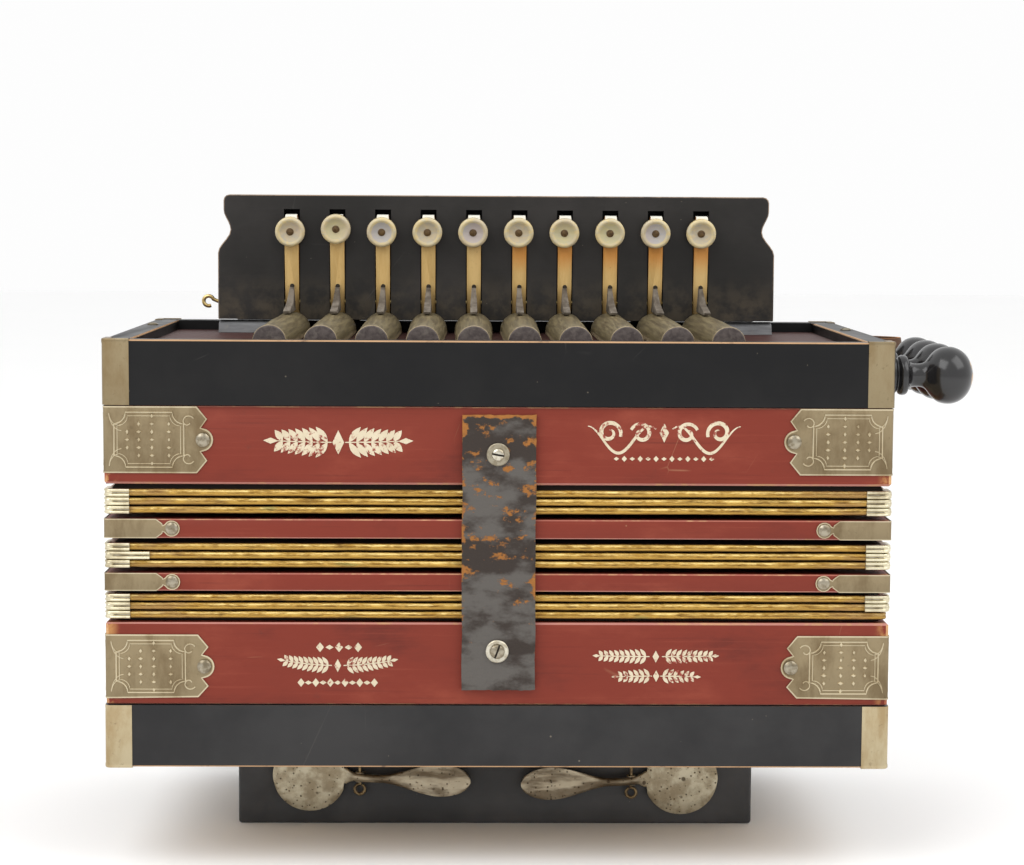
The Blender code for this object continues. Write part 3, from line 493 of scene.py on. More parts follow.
def strapLeather():
    look = dict(dark=(0.035, 0.026, 0.021), smooth=(0.098, 0.089, 0.080), rub=(0.39, 0.155, 0.032),
                rubDeep=(0.20, 0.085, 0.028), foot=0.105, head=0.1705)
    coat = Finish("strap_leather_worn")
    up = coat.along("Z")
    tone = coat.cloud((0.014, 0.014, 0.008), detail=6, rough=0.6)
    band = coat.times(coat.between(up, 0.110, 0.115), coat.between(up, 0.127, 0.121))
    darker = coat.plus(coat.times(band, 0.20),
                       coat.times(coat.between(up, 0.145, 0.158), 0.17))
    tone = coat.calc("SUBTRACT", tone, darker)
    colour = coat.mix(coat.between(tone, 0.34, 0.56), look["dark"], look["smooth"])
    # the finish has rubbed away in patches, most of them high on the strap and along its edges
    patches = coat.cloud((0.0072, 0.0072, 0.0052), detail=7, rough=0.66, shift=(0.35, 0.2, 0.61))
    height = coat.times(coat.between(up, look["foot"] - 0.03, look["foot"] + 0.01), 0.135)
    side = coat.fromMiddle("X")
    edge = coat.times(coat.between(side, 0.0112, 0.0140), 0.11)
    top = coat.times(coat.between(up, look["head"] - 0.0022, look["head"] - 0.0002), 0.25)
    rub = coat.plus(coat.plus(patches, height), coat.plus(edge, top))
    orange = coat.mix(coat.cloud(0.002, detail=4), look["rubDeep"], look["rub"])
    bare = coat.between(rub, 0.69, 0.76)
    coat.set("Base Color", coat.mix(bare, colour, orange))
    coat.set("Roughness", coat.scaled(bare, 0.46, 0.8))
    pebble = coat.cells(0.0011)["Distance"]
    coat.raised(pebble, 0.00022, 0.5)
    creases = coat.cloud((0.012, 0.012, 0.0011), detail=4, rough=0.6)
    coat.raised(creases, 0.0004, 0.5)
    coat.raised(bare, -0.00018, 0.8)
    return coat.material


def rawLeatherEdge():
    coat = Finish("raw_leather_edge", 0.85)
    fibre = coat.cloud((0.0012, 0.004, 0.0012), detail=4, rough=0.7)
    colour = coat.mix(fibre, (0.16, 0.055, 0.012), (0.52, 0.22, 0.05))
    coat.set("Base Color", colour)
    coat.raised(fibre, 0.0004, 0.8)
    return coat.material


def brownLeather():
    coat = Finish("brown_strap_leather")
    tone = coat.cloud(0.02, detail=5, rough=0.6)
    colour = coat.mix(tone, (0.045, 0.022, 0.012), (0.13, 0.062, 0.030))
    rub = coat.between(coat.cloud(0.007, detail=5, rough=0.65, shift=(0.3, 0.1, 0.8)), 0.58, 0.68)
    colour = coat.over(colour, (0.36, 0.15, 0.04), rub, 0.8)
    coat.set("Base Color", colour)
    coat.set("Roughness", coat.scaled(tone, 0.45, 0.75))
    coat.raised(coat.cells(0.0013)["Distance"], 0.00025, 0.5)
    return coat.material


def pearl(name, cream, cool, rose):
    coat = Finish(name, 0.22)
    swirl = coat.cloud((0.004, 0.004, 0.0026), detail=4, twist=1.6)
    colour = coat.mix(coat.between(swirl, 0.35, 0.65), cream, cool)
    each = coat.cloud(0.017, detail=1, shift=(0.21, 0.0, 0.0))
    colour = coat.over(colour, rose, coat.between(each, 0.5, 0.66), 0.65)
    coat.set("Base Color", colour)
    coat.set("Coat Weight", 0.5)
    coat.set("Coat Roughness", 0.12)
    coat.raised(swirl, 0.0001, 0.4)
    return coat.material


def leverWood():
    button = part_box("key_button_01")
    look = dict(honey=(0.56, 0.34, 0.105), pale=(0.70, 0.50, 0.22), stain=(0.60, 0.22, 0.03),
                tip=(0.86, 0.84, 0.74), shade=(0.24, 0.15, 0.06))
    coat = Finish("lever_wood_honey", 0.42)
    up = coat.along("Z")
    grain = coat.cloud((0.0007, 0.0007, 0.018), detail=4, rough=0.6)
    each = coat.cloud((0.018, 1.0, 1.0), detail=1, shift=(0.4, 0, 0))
    colour = coat.mix(grain, look["honey"], look["pale"])
    colour = coat.over(colour, look["pale"], coat.between(each, 0.45, 0.62), 0.5)
    under = coat.times(coat.between(up, button[0].z - 0.012, button[0].z - 0.001),
                       coat.between(coat.along("X"), -0.012, 0.012))
    colour = coat.over(colour, look["stain"], under, 0.75)
    colour = coat.over(colour, look["tip"], coat.between(up, button[1].z - 0.004, button[1].z - 0.002))
    low = coat.between(up, rimZ + 0.018, rimZ + 0.004)
    colour = coat.over(colour, look["shade"], low, 0.6)
    dirt = coat.between(coat.cloud(0.002, detail=5, rough=0.7), 0.6, 0.75)
    colour = coat.over(colour, look["shade"], dirt, 0.4)
    coat.set("Base Color", colour)
    coat.raised(grain, 0.00012, 0.5)
    return coat.material


def plainBrown(name, light, dark, grainSize, roughness=0.6, dusty=(0.30, 0.27, 0.22), dust=0.3, gloss=0.22):
    # dull stained wood or old leather, with grain and settled dust
    coat = Finish(name)
    grain = coat.cloud(grainSize, detail=5, rough=0.6, twist=0.4)
    colour = coat.mix(coat.between(grain, 0.3, 0.7), dark, light)
    settled = coat.between(coat.cloud(0.005, detail=6, rough=0.7, shift=(0.3, 0.5, 0.2)), 0.52, 0.74)
    colour = coat.over(colour, dusty, settled, dust)
    coat.set("Base Color", colour)
    coat.set("Roughness", coat.scaled(grain, roughness - 0.12, roughness + 0.15))
    coat.raised(grain, 0.0003, 0.5)
    coat.set("Specular IOR Level", gloss)
    return coat.material


def knobBlack():
    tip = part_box("stop_knob_1")[1].x
    coat = Finish("knob_black_polish")
    marks = coat.scratches(60, 0.012, 0.1, 0.00012, (0.2, 0.3, 0.1), 0.5)
    colour = coat.mix(coat.cloud(0.01), (0.006, 0.006, 0.007), (0.016, 0.015, 0.015))
    colour = coat.over(colour, (0.10, 0.09, 0.08), marks, 0.5)
    worn = coat.plus(coat.times(coat.cloud(0.004, detail=4), 0.6),
                     coat.times(coat.between(coat.along("X"), tip - 0.0042, tip - 0.0003), 0.4))
    worn = coat.between(worn, 0.60, 0.66)
    coat.set("Base Color", coat.mix(worn, colour, (0.50, 0.34, 0.21)))
    coat.set("Roughness", coat.scaled(worn, 0.2, 0.6))
    coat.set("Specular IOR Level", 0.6)
    coat.raised(coat.cloud(0.003, detail=3), 0.00008, 0.4)
    return coat.material


def spoonNickel():
    look = dict(pale=(0.50, 0.45, 0.33), dull=(0.28, 0.23, 0.15), pit=(0.055, 0.035, 0.02))
    coat = Finish("pitted_spoon_nickel", metallic=0.9)
    tone = coat.cloud(0.008, detail=6, rough=0.65)
    colour = coat.mix(coat.between(tone, 0.38, 0.62), look["dull"], look["pale"])
    handle = coat.between(coat.fromMiddle("X"), 0.061, 0.055)
    worn = coat.between(coat.cloud((0.016, 0.016, 0.004), detail=4, shift=(0.3, 0.3, 0.3)), 0.42, 0.62)
    brown = coat.mix(worn, (0.12, 0.088, 0.055), (0.42, 0.36, 0.26))
    colour = coat.over(colour, brown, handle, 0.85)
    pits = coat.plus(coat.specks(0.0016, 0.00045, share=0.55),
                     coat.specks(0.005, 0.0011, (0.2, 0.2, 0.2), 0.7))
    rust = coat.between(coat.cloud(0.0016, detail=5, rough=0.7, shift=(0.4, 0.9, 0.1)), 0.60, 0.72)
    spots = coat.plus(coat.times(pits, 0.7), coat.times(rust, 0.7))
    coat.set("Base Color", coat.mix(spots, colour, look["pit"]))
    coat.set("Roughness", coat.scaled(spots, 0.38, 0.75))
    coat.raised(spots, -0.0002, 0.7)
    coat.raised(coat.cloud(0.003, detail=4), 0.0002, 0.4)
    return coat.material


def wireMetal(name, colour, dark, roughness):
    coat = Finish(name, metallic=1.0)
    tone = coat.cloud(0.0025, detail=4, rough=0.65)
    coat.set("Base Color", coat.mix(coat.between(tone, 0.35, 0.6), dark, colour))
    coat.set("Roughness", coat.scaled(tone, roughness + 0.15, roughness - 0.08))
    coat.raised(tone, 0.0001, 0.4)
    return coat.material


tanWood = (0.40, 0.22, 0.10)
finishes = dict(
    lacquer=blackLacquer("black_lacquer_deep", (0.004, 0.004, 0.0045), (0.009, 0.0085, 0.0085)),
    lacquerDull=blackLacquer("black_lacquer_dull", (0.019, 0.0185, 0.019), (0.033, 0.032, 0.032)),
    lacquerBoard=blackLacquer("black_lacquer_board", (0.017, 0.0155, 0.014), (0.030, 0.027, 0.025),
                              rimZ + 0.004),
    lacquerEdge=wornEdge("lacquer_edge_worn", (0.020, 0.018, 0.018), tanWood, 0.46, 0.54),
    lacquerRim=wornEdge("lacquer_rim_worn", (0.10, 0.060, 0.04), (0.46, 0.28, 0.15), 0.30, 0.46),
    # a brighter copy of the black lacquer for the bass box, painted light that lifts it out of its shade
    lacquerBoxPaintedLight=blackLacquer("black_lacquer_box_painted_light", (0.042, 0.042, 0.043), (0.070, 0.069, 0.070)),
    boardRim=wornEdge("board_rim_worn", (0.085, 0.065, 0.055), (0.30, 0.215, 0.15), 0.36, 0.56),
    red=redPaint(),
    redEdge=wornEdge("red_edge_worn", (0.37, 0.125, 0.092), (0.50, 0.27, 0.15), 0.47, 0.60),
    # a lighter copy of the worn red edge for the down-facing bevels: real wear, plus painted light against
    # their shading
    redUnderPaintedLight=wornEdge("red_edge_worn_under_painted_light", (0.44, 0.19, 0.155), (0.50, 0.27, 0.15), 0.50, 0.62),
    redCorner=wornEdge("red_corner_worn", (0.33, 0.09, 0.045), (0.58, 0.33, 0.15), 0.40, 0.54),
    cream=creamPaint(),
    nickel=nickelPlate("nickel_tarnished", (0.285, 0.225, 0.135), (0.185, 0.135, 0.075), 0.45, 0.38),
    # a brighter copy of the plate nickel for raised rims, ridges and beads: a painted highlight, with the
    # plain plate left darker between them
    nickelReliefPaintedHighlight=nickelPlate("nickel_relief_painted_highlight", (0.56, 0.48, 0.33), (0.38, 0.30, 0.18), 0.42, 0.3),
    nickelCap=nickelPlate("nickel_cap", (0.295, 0.235, 0.14), (0.235, 0.17, 0.09), 0.50, 0.34),
    nickelCapPale=nickelPlate("nickel_cap_pale", (0.50, 0.42, 0.27), (0.38, 0.28, 0.15), 0.50, 0.34),
    nickelClip=nickelPlate("nickel_clip_bright", (0.72, 0.66, 0.48), (0.40, 0.33, 0.20), 0.42, 0.28),
    gold=goldFoil(),
    cloth=foldCloth(),
    strap=strapLeather(),
    rawEdge=rawLeatherEdge(),
    brown=brownLeather(),
    pearl=pearl("mother_of_pearl_rim", (0.64, 0.51, 0.26), (0.55, 0.48, 0.32), (0.50, 0.42, 0.30)),
    pearlDish=pearl("mother_of_pearl_dish", (0.54, 0.44, 0.28), (0.46, 0.41, 0.31), (0.46, 0.36, 0.28)),
    pearlYellow=pearl("mother_of_pearl_yellow", (0.55, 0.48, 0.26), (0.50, 0.45, 0.28), (0.52, 0.43, 0.27)),
    pearlGrey=pearl("mother_of_pearl_grey", (0.47, 0.43, 0.38), (0.43, 0.41, 0.40), (0.46, 0.38, 0.35)),
    lever=leverWood(),
    leverEdge=plainBrown("lever_edge_orange", (0.40, 0.17, 0.045), (0.20, 0.08, 0.02), (0.002, 0.002, 0.01),
                         dust=0.1),
    arm=plainBrown("arm_leather_grey", (0.22, 0.19, 0.155), (0.085, 0.07, 0.055), (0.004, 0.008, 0.004)),
    pallet=plainBrown("pallet_wood_olive", (0.215, 0.175, 0.095), (0.10, 0.078, 0.045),
                      (0.0012, 0.03, 0.0012), 0.42, dust=0.25),
    palletEnd=plainBrown("pallet_end_grey", (0.115, 0.095, 0.088), (0.06, 0.048, 0.046), 0.0018, 0.6,
                         dust=0.25),
    facing=plainBrown("pallet_facing_leather", (0.42, 0.34, 0.22), (0.24, 0.18, 0.10), 0.002, 0.85),
    board=plainBrown("board_wood_purple", (0.090, 0.040, 0.035), (0.045, 0.022, 0.020),
                     (0.03, 0.0016, 0.0016), 0.5,
                     dusty=(0.22, 0.15, 0.12), dust=0.22, gloss=0.1),
    plainWood=plainBrown("plain_wood", (0.50, 0.35, 0.19), (0.36, 0.24, 0.12), (0.03, 0.0015, 0.0015), 0.6),
    moulding=plainBrown("grey_moulding", (0.23, 0.235, 0.24), (0.12, 0.12, 0.125), (0.02, 0.003, 0.003),
                        0.45),
    pin=plainBrown("button_pin_brown", (0.14, 0.085, 0.035), (0.07, 0.04, 0.018), 0.001, 0.4, dust=0.1),
    knob=knobBlack(),
    spoon=spoonNickel(),
    brass=wireMetal("brass_wire_old", (0.72, 0.55, 0.24), (0.40, 0.27, 0.10), 0.3),
    screw=wireMetal("screw_steel", (0.36, 0.32, 0.245), (0.20, 0.165, 0.11), 0.3),
    screwBright=wireMetal("screw_steel_bright", (0.66, 0.62, 0.52), (0.38, 0.33, 0.24), 0.25),
    # dark finish for cut slots and holes: dirt and a painted shade in the recess
    slot=plainBrown("screw_slot_dirt_and_shade", (0.05, 0.04, 0.03), (0.025, 0.02, 0.015), 0.001, 0.8, dust=0.0),
    washer=wireMetal("washer_nickel", (0.36, 0.32, 0.24), (0.25, 0.21, 0.145), 0.4),
    washerPale=wireMetal("washer_pale", (0.62, 0.58, 0.48), (0.44, 0.39, 0.29), 0.35),
    brassDark=wireMetal("brass_wire_dark", (0.26, 0.19, 0.10), (0.13, 0.09, 0.05), 0.4),
    thread=plainBrown("waxed_thread", (0.46, 0.36, 0.22), (0.26, 0.19, 0.10), 0.0006, 0.7),
)
print("finishes made:", len(finishes))


# ---- node trees for what repeats

def newTree(name, sockets):
    tree = bpy.data.node_groups.new(name, "GeometryNodeTree")
    tree.interface.new_socket("Geometry", in_out="INPUT", socket_type="NodeSocketGeometry")
    for label, kind in sockets:
        tree.interface.new_socket(label, in_out="INPUT", socket_type="NodeSocket" + kind)
    tree.interface.new_socket("Geometry", in_out="OUTPUT", socket_type="NodeSocketGeometry")
    return tree, tree.nodes.new("NodeGroupInput").outputs


def addNode(tree, kind, feeds, **settings):
    # feeds gives each input, by name or number, a value or the output that it comes from
    node = tree.nodes.new(kind)
    for name, value in settings.items():
        setattr(node, name, value)
    for socket, value in feeds.items():
        if isinstance(value, bpy.types.NodeSocket):
            tree.links.new(value, node.inputs[socket])
        else:
            node.inputs[socket].default_value = value
    return node.outputs


def endTree(tree, geometry, given):
    whole = addNode(tree, "GeometryNodeRealizeInstances", {"Geometry": geometry})
    painted = addNode(tree, "GeometryNodeSetMaterial", {"Geometry": whole[0], "Material": given["Finish"]})
    addNode(tree, "NodeGroupOutput", {"Geometry": painted[0]})
    return tree


def scatterTree():
    # stands a copy of Model on each point, its Z along "facing" and its X along "across"
    tree, given = newTree("stand_on_points", [
        ("Model", "Object"), ("Size", "Float"), ("Unevenness", "Float"), ("Seed", "Int"),
    ("Finish", "Material")])
    model = addNode(tree, "GeometryNodeObjectInfo", {"Object": given["Model"]})
    facing = addNode(tree, "GeometryNodeInputNamedAttribute", {"Name": "facing"}, data_type="FLOAT_VECTOR")
    across = addNode(tree, "GeometryNodeInputNamedAttribute", {"Name": "across"}, data_type="FLOAT_VECTOR")
    upright = addNode(tree, "FunctionNodeAlignRotationToVector", {"Vector": facing["Attribute"]},
                      axis="Z", pivot_axis="AUTO")
    turned = addNode(tree, "FunctionNodeAlignRotationToVector", {
        "Rotation": upright["Rotation"], "Vector": across["Attribute"]}, axis="X", pivot_axis="Z")
    least = addNode(tree, "ShaderNodeMath", {0: 1.0, 1: given["Unevenness"]}, operation="SUBTRACT")
    chance = addNode(tree, "FunctionNodeRandomValue", {2: least[0], 3: 1.0, "Seed": given["Seed"]},
                     data_type="FLOAT")
    grown = addNode(tree, "ShaderNodeMath", {0: chance[1], 1: given["Size"]}, operation="MULTIPLY")
    stand = addNode(tree, "GeometryNodeInstanceOnPoints", {
        "Points": given["Geometry"], "Instance": model["Geometry"], "Rotation": turned["Rotation"],
        "Scale": grown[0]})
    return endTree(tree, stand["Instances"], given)


def sweepTree():
    # runs Profile along level paths, then makes the strip a little uneven
    tree, given = newTree("run_along_paths", [
        ("Profile", "Object"), ("Wave Length", "Float"), ("Wave Height", "Float"), ("Seed", "Float"),
        ("Finish", "Material")])
    path = addNode(tree, "GeometryNodeMeshToCurve", {"Mesh": given["Geometry"]})
    upright = addNode(tree, "GeometryNodeSetCurveNormal", {"Curve": path["Curve"]}, mode="Z_UP")
    profile = addNode(tree, "GeometryNodeObjectInfo", {"Object": given["Profile"]})
    outline = addNode(tree, "GeometryNodeMeshToCurve", {"Mesh": profile["Geometry"]})
    sweep = addNode(tree, "GeometryNodeCurveToMesh", {
        "Curve": upright["Curve"], "Profile Curve": outline["Curve"], "Fill Caps": True})
    where = addNode(tree, "GeometryNodeInputPosition", {})
    shrunk = addNode(tree, "ShaderNodeVectorMath", {0: where[0], 1: given["Wave Length"]}, operation="DIVIDE")
    ripple = addNode(tree, "ShaderNodeTexNoise", {
        "Scale": 1.0, "Detail": 3.0, "Vector": shrunk[0], "W": given["Seed"]}, noise_dimensions="4D")
    centred = addNode(tree, "ShaderNodeVectorMath", {0: ripple["Color"], 1: (0.5, 0.5, 0.5)},
                      operation="SUBTRACT")
    grown = addNode(tree, "ShaderNodeVectorMath", {0: centred[0], 1: given["Wave Height"]},
                    operation="MULTIPLY")
    uneven = addNode(tree, "GeometryNodeSetPosition", {"Geometry": sweep["Mesh"], "Offset": grown[0]})
    return endTree(tree, uneven["Geometry"], given)


def runTree(name, tree, sourceMesh, values, sharpAngle=35):
    host = bpy.data.objects.new(name + "_source", sourceMesh)
    bpy.context.scene.collection.objects.link(host)
    modifier = host.modifiers.new("make", "NODES")
    modifier.node_group = tree
    for item in tree.interface.items_tree:
        if item.in_out == "INPUT" and item.name in values:
            modifier[item.identifier] = values[item.name]
    graph = bpy.context.evaluated_depsgraph_get()
    mesh = bpy.data.meshes.new_from_object(host.evaluated_get(graph))
    mesh.name = name
    bpy.data.objects.remove(host)
    bm = bmesh.new()
    bm.from_mesh(mesh)
    bmesh.ops.recalc_face_normals(bm, faces=bm.faces)
    bm.to_mesh(mesh)
    bm.free()
    return meshPiece(name, mesh, [], sharpAngle)


def fitCopies(name, model, spots, size, unevenness, seed, key, body, slot, sharpAngle=35):
    # one piece from a copy of the model on each spot
    piece = runTree(name, standOnPoints, pointsMesh(spots), {
        "Model": model, "Size": size, "Unevenness": unevenness, "Seed": seed, "Finish": finishes[key]},
                    sharpAngle)
    settle(piece, body, slot)


def pointsMesh(spots):
    # spots holds (place, facing, across)
    mesh = bpy.data.meshes.new("spots")
    mesh.from_pydata([spot[0] for spot in spots], [], [])
    for column, name in ((1, "facing"), (2, "across")):
        attribute = mesh.attributes.new(name, "FLOAT_VECTOR", "POINT")
        attribute.data.foreach_set("vector", [x for spot in spots for x in spot[column]])
    return mesh


def pathsMesh(paths):
    # paths holds (points, closed)
    mesh = bpy.data.meshes.new("paths")
    points, edges = [], []
    for path, closed in paths:
        start = len(points)
        points += [tuple(p) for p in path]
        edges += [(start + i, start + i + 1) for i in range(len(path) - 1)]
        if closed:
            edges.append((start + len(path) - 1, start))
    mesh.from_pydata(points, edges, [])
    return mesh


def modelObject(name, bm=None, mesh=None):
    if bm is not None:
        bmesh.ops.recalc_face_normals(bm, faces=bm.faces)
        mesh = bpy.data.meshes.new(name)
        bm.to_mesh(mesh)
        bm.free()
    model = bpy.data.objects.new(name, mesh)
    bpy.context.scene.collection.objects.link(model)
    return model


standOnPoints = scatterTree()
runAlongPaths = sweepTree()


def domeHead(slotWidth=0.0):
    # a screw head of radius 1 that stands on Z = 0
    bm = bmesh.new()
    profile = [(-0.1, 0), (-0.1, 0.97), (0.14, 1.0), (0.33, 0.80), (0.44, 0.46), (0.48, 0)]
    addTurned(bm, profile, (0, 0, 0), (0, 0, 1), 12)
    head = modelObject("dome_head", bm)
    if slotWidth:
        cutter = bmesh.new()
        addBlock(cutter, (-1.2, -slotWidth / 2, 0.22), (1.2, slotWidth / 2, 1.0))
        carve(head, cutter)
    return head


def lozengeHead():
    # a raised diamond, 2 long and 1.3 wide, that stands on Z = 0
    bm = bmesh.new()
    base = [(-1, 0, -0.1), (0, -0.65, -0.1), (1, 0, -0.1), (0, 0.65, -0.1)]
    top = [(x * 0.66, y * 0.66, 0.24) for x, y, z in base]
    joinRings(bm, [base, top])
    return modelObject("lozenge_head", bm)


plainHead = domeHead()
slottedHead = domeHead(0.26)
lozenge = lozengeHead()


# ---- black casings and their nickel corner caps

casingLook = dict(sheet=0.38 * mm, cornerRadius=2.2 * mm, capReach=10.2 * mm, rimWidth=0.55 * mm,
                  lip=3.2 * mm)


def buildCasing(node, body, wornTop, main):
    bm = copyOfNode(node)
    sheet, radius = casingLook["sheet"], casingLook["cornerRadius"]
    for vert in bm.verts:            # room for the caps' sheet metal
        if abs(vert.co.x) > halfWidth - 0.01 * mm:
            vert.co.x -= copysign(sheet, vert.co.x)
        if abs(vert.co.y) > halfDepth - 0.01 * mm:
            vert.co.y -= copysign(sheet, vert.co.y)
    softenEdges(bm, radius - sheet, 5, choose=outerCorners(halfWidth, halfDepth, 5 * mm))
    low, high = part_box(node)
    wornZ = high.z if wornTop else low.z

    def wornRim(edge):
        rear = all(v.co.y > halfDepth - 14 * mm and v.co.y < halfDepth - mm for v in edge.verts)
        return not rear and all(abs(v.co.z - wornZ) < 0.01 * mm for v in edge.verts)

    softenEdges(bm, casingLook["rimWidth"], 2, 2, choose=wornRim, clamp=False)
    softenEdges(bm, 0.3 * mm, 2, 1, angle=60)
    fit(node + "_shell", bm, [main, "lacquerEdge", "lacquerRim"], body, "black_lacquer", node)


def cornerStations(signX, signY, reach, radius, offset):
    # plan points round a corner, at a distance inside the casing's faces
    inner = max(radius, offset)
    points = [(reach, offset), (inner, offset)]
    if offset < radius:
        for k in range(1, 6):
            angle = pi / 2 * k / 6
            spread = radius - offset
            points.append((radius - spread * sin(angle), radius - spread * cos(angle)))
    else:
        points += [(offset, offset)] * 5
    points += [(offset, inner), (offset, reach)]
    return [(signX * (halfWidth - x), signY * (halfDepth - y)) for x, y in points]


def buildCornerCaps(node, body, lipUp, main):
    low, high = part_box(node)
    look = casingLook
    plain, lipped = (low.z, high.z) if lipUp else (high.z, low.z)
    out = 1 if lipUp else -1
    inside = look["sheet"] - 0.05 * mm
    profile = [(0.16 * mm, plain), (0.16 * mm, lipped - out * 1.5 * mm), (0.02 * mm, lipped - out * 1.0 * mm),
               (0.0, lipped - out * 0.2 * mm), (0.22 * mm, lipped + out * 0.28 * mm),
               (0.6 * mm, lipped + out * 0.4 * mm), (look["lip"], lipped + out * 0.36 * mm),
               (look["lip"], lipped + out * 0.03 * mm), (inside, lipped + out * 0.03 * mm), (inside, plain)]
    bm = bmesh.new()
    for signX, signY in fourCorners:
        columns = []
        for offset, z in profile:
            plan = cornerStations(signX, signY, look["capReach"], look["cornerRadius"], offset)
            columns.append([(x, y, z) for x, y in plan])
        stations = [list(ring) for ring in zip(*columns)]
        joinRings(bm, stations)
    fit(body.split("_")[0] + "_corner_caps", bm, [main], body, "nickel", sharpAngle=40)


buildCasing("treble_casing", "treble_end", True, "lacquer")
buildCasing("bass_casing", "bass_end", False, "lacquerDull")
buildCornerCaps("treble_casing", "treble_end", True, "nickelCap")
buildCornerCaps("bass_casing", "bass_end", False, "nickelCapPale")
print("casings and corner caps made")


# ---- red bellows frames

def buildRedFrame(node, body, name):
    bm = copyOfNode(node)
    for vert in bm.verts:
        if abs(vert.co.x) > frameHalfWidth - frameSwell - 0.01 * mm:
            vert.co.x += copysign(frameSwell, vert.co.x)
    corners = outerCorners(frameHalfWidth, frameHalfDepth, 3 * mm)
    softenEdges(bm, frameCornerRadius, 3, 2, choose=corners)
    low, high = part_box(node)
    worn = {"treble_frame": low.z, "bass_frame": high.z}.get(node)

    def wornSide(edge):
        return all(abs(v.co.z - worn) < 0.01 * mm
                   and (abs(v.co.x) > frameHalfWidth - 1.5 * mm or abs(v.co.y) > frameHalfDepth - 1.5 * mm)
                   for v in edge.verts)

    if worn:
        softenEdges(bm, 0.8 * mm, 1, 1, angle=50, choose=wornSide, clamp=False)
    softenEdges(bm, 0.42 * mm, 1, 1, angle=50, clamp=False)
    bmesh.ops.recalc_face_normals(bm, faces=bm.faces)
    # down-facing bevels take the lighter red, a painted light against their shading
    for face in bm.faces:
        if face.material_index == 1 and face.normal.z < -0.4:
            face.material_index = 3
    fit(name, bm, ["red", "redEdge", "redCorner", "redUnderPaintedLight"], body, "red_paint", node)


buildRedFrame("treble_frame", "treble_end", "treble_red_frame")
buildRedFrame("bass_frame", "bass_end", "bass_red_frame")
buildRedFrame("mid_frame_upper", "upper_fold_frame", "upper_red_frame")
buildRedFrame("mid_frame_lower", "lower_fold_frame", "lower_red_frame")


# ---- sheet metal wrapped round the frames' corners

def wrapPoint(signX, signY, s, out, z):
    # s runs from the corner line: positive along the front or rear, negative along the side
    radius = frameCornerRadius
    arc = radius * pi / 4
    if s >= arc:
        x, y = frameHalfWidth - radius - (s - arc), frameHalfDepth + out
    elif s <= -arc:
        x, y = frameHalfWidth + out, frameHalfDepth - radius - (-s - arc)
    else:
        angle = pi / 4 * (1 + s / arc)
        x = frameHalfWidth - radius + (radius + out) * cos(angle)
        y = frameHalfDepth - radius + (radius + out) * sin(angle)
    return Vector((signX * x, signY * y, z))


def flatPlate(bm, outline, thickness, rim, rimHeight):
    # outline is in (s, z), and the plate's outer face lies at Y = thickness
    face = bm.faces.new([bm.verts.new((s, thickness, z)) for s, z in outline])
    sides = bmesh.ops.extrude_edge_only(bm, edges=list(face.edges))
    for vert in [v for v in sides["geom"] if isinstance(v, bmesh.types.BMVert)]:
        vert.co.y = 0.0
    border = bmesh.ops.inset_region(bm, faces=[face], thickness=rim * 0.35, depth=0.0)
    # the rim strips take finish 1, the brighter nickel that paints a highlight on the raised rim
    for strip in border["faces"]:
        strip.material_index = 1
    bmesh.ops.inset_region(bm, faces=[face], thickness=rim * 0.3, depth=-rimHeight)


def bendRound(bm, signX, signY, zCentre):
    # splits the flat plate where it turns the corner, then wraps it
    for k in range(-3, 4):
        geometry = bm.verts[:] + bm.edges[:] + bm.faces[:]
        where = frameCornerRadius * pi / 4 * k / 3
        bmesh.ops.bisect_plane(bm, geom=geometry, plane_co=(where, 0, 0), plane_no=(1, 0, 0))
    for vert in bm.verts:
        vert.co = wrapPoint(signX, signY, vert.co.x, vert.co.y, zCentre + vert.co.z)


def mergeInto(bm, part):
    mesh = bpy.data.meshes.new("part")
    bmesh.ops.recalc_face_normals(part, faces=part.faces)
    part.to_mesh(mesh)
    part.free()
    bm.from_mesh(mesh)
    bpy.data.meshes.remove(mesh)


def addRidge(bm, line, width, height, base, closed=False):
    # a low rounded ridge along a line of (s, z) points on a plate whose face lies at base
    rings = []
    count = len(line)
    for i, (s, z) in enumerate(line):
        before = Vector(line[i - 1] if i or closed else line[0])
        after = Vector(line[(i + 1) % count] if i < count - 1 or closed else line[-1])
        run = (after - before).normalized()
        side = Vector((-run.y, run.x)) * width / 2
        rings.append([(s + side.x, base - 0.02 * mm, z + side.y),
                      (s + side.x * 0.6, base + height * 0.8, z + side.y * 0.6),
                      (s, base + height, z), (s - side.x * 0.6, base + height * 0.8, z - side.y * 0.6),
                      (s - side.x, base - 0.02 * mm, z - side.y)])
    # ridges take finish 1, the brighter nickel of the painted highlight
    joinRings(bm, rings, looped=closed, finish=1)


shield = dict(thickness=0.42 * mm, topRun=33.7 * mm, pointReach=37.5 * mm, pointDrop=4.65 * mm,
              notchReach=35.2 * mm, lobeCentre=35.4 * mm, lobeRadius=4.25 * mm, screwRadius=2.7 * mm,
              panelStart=3.6 * mm, panelEnd=29.0 * mm, beads=((8.4, 1), (12.6, 2), (17.4, 3), (23.6, 2)),
              beadPitch=2.9 * mm)


def shieldHalf(height):
    look = shield
    points = [(look["topRun"], height), (look["pointReach"], height - look["pointDrop"])]
    points.append((look["notchReach"], look["lobeRadius"] + 0.15 * mm))
    for k in range(11):
        angle = radians(80 - 16 * k)
        points.append((look["lobeCentre"] + look["lobeRadius"] * cos(angle), look["lobeRadius"] * sin(angle)))
    points.append((look["notchReach"], -look["lobeRadius"] - 0.15 * mm))
    points += [(look["pointReach"], -height + look["pointDrop"]), (look["topRun"], -height)]
    return points


def panelLine(height):
    # a panel with scooped corners
    start, end = shield["panelStart"], shield["panelEnd"]
    scoop = 4.2 * mm
    rise = height - 2.2 * mm
    line = []
    for s, z, first in ((end, rise, 180), (end, -rise, 90), (start, -rise, 0), (start, rise, 270)):
        for k in range(7):
            angle = radians(first + 90 * k / 6)
            line.append((s + scoop * cos(angle), z + scoop * sin(angle)))
    return line


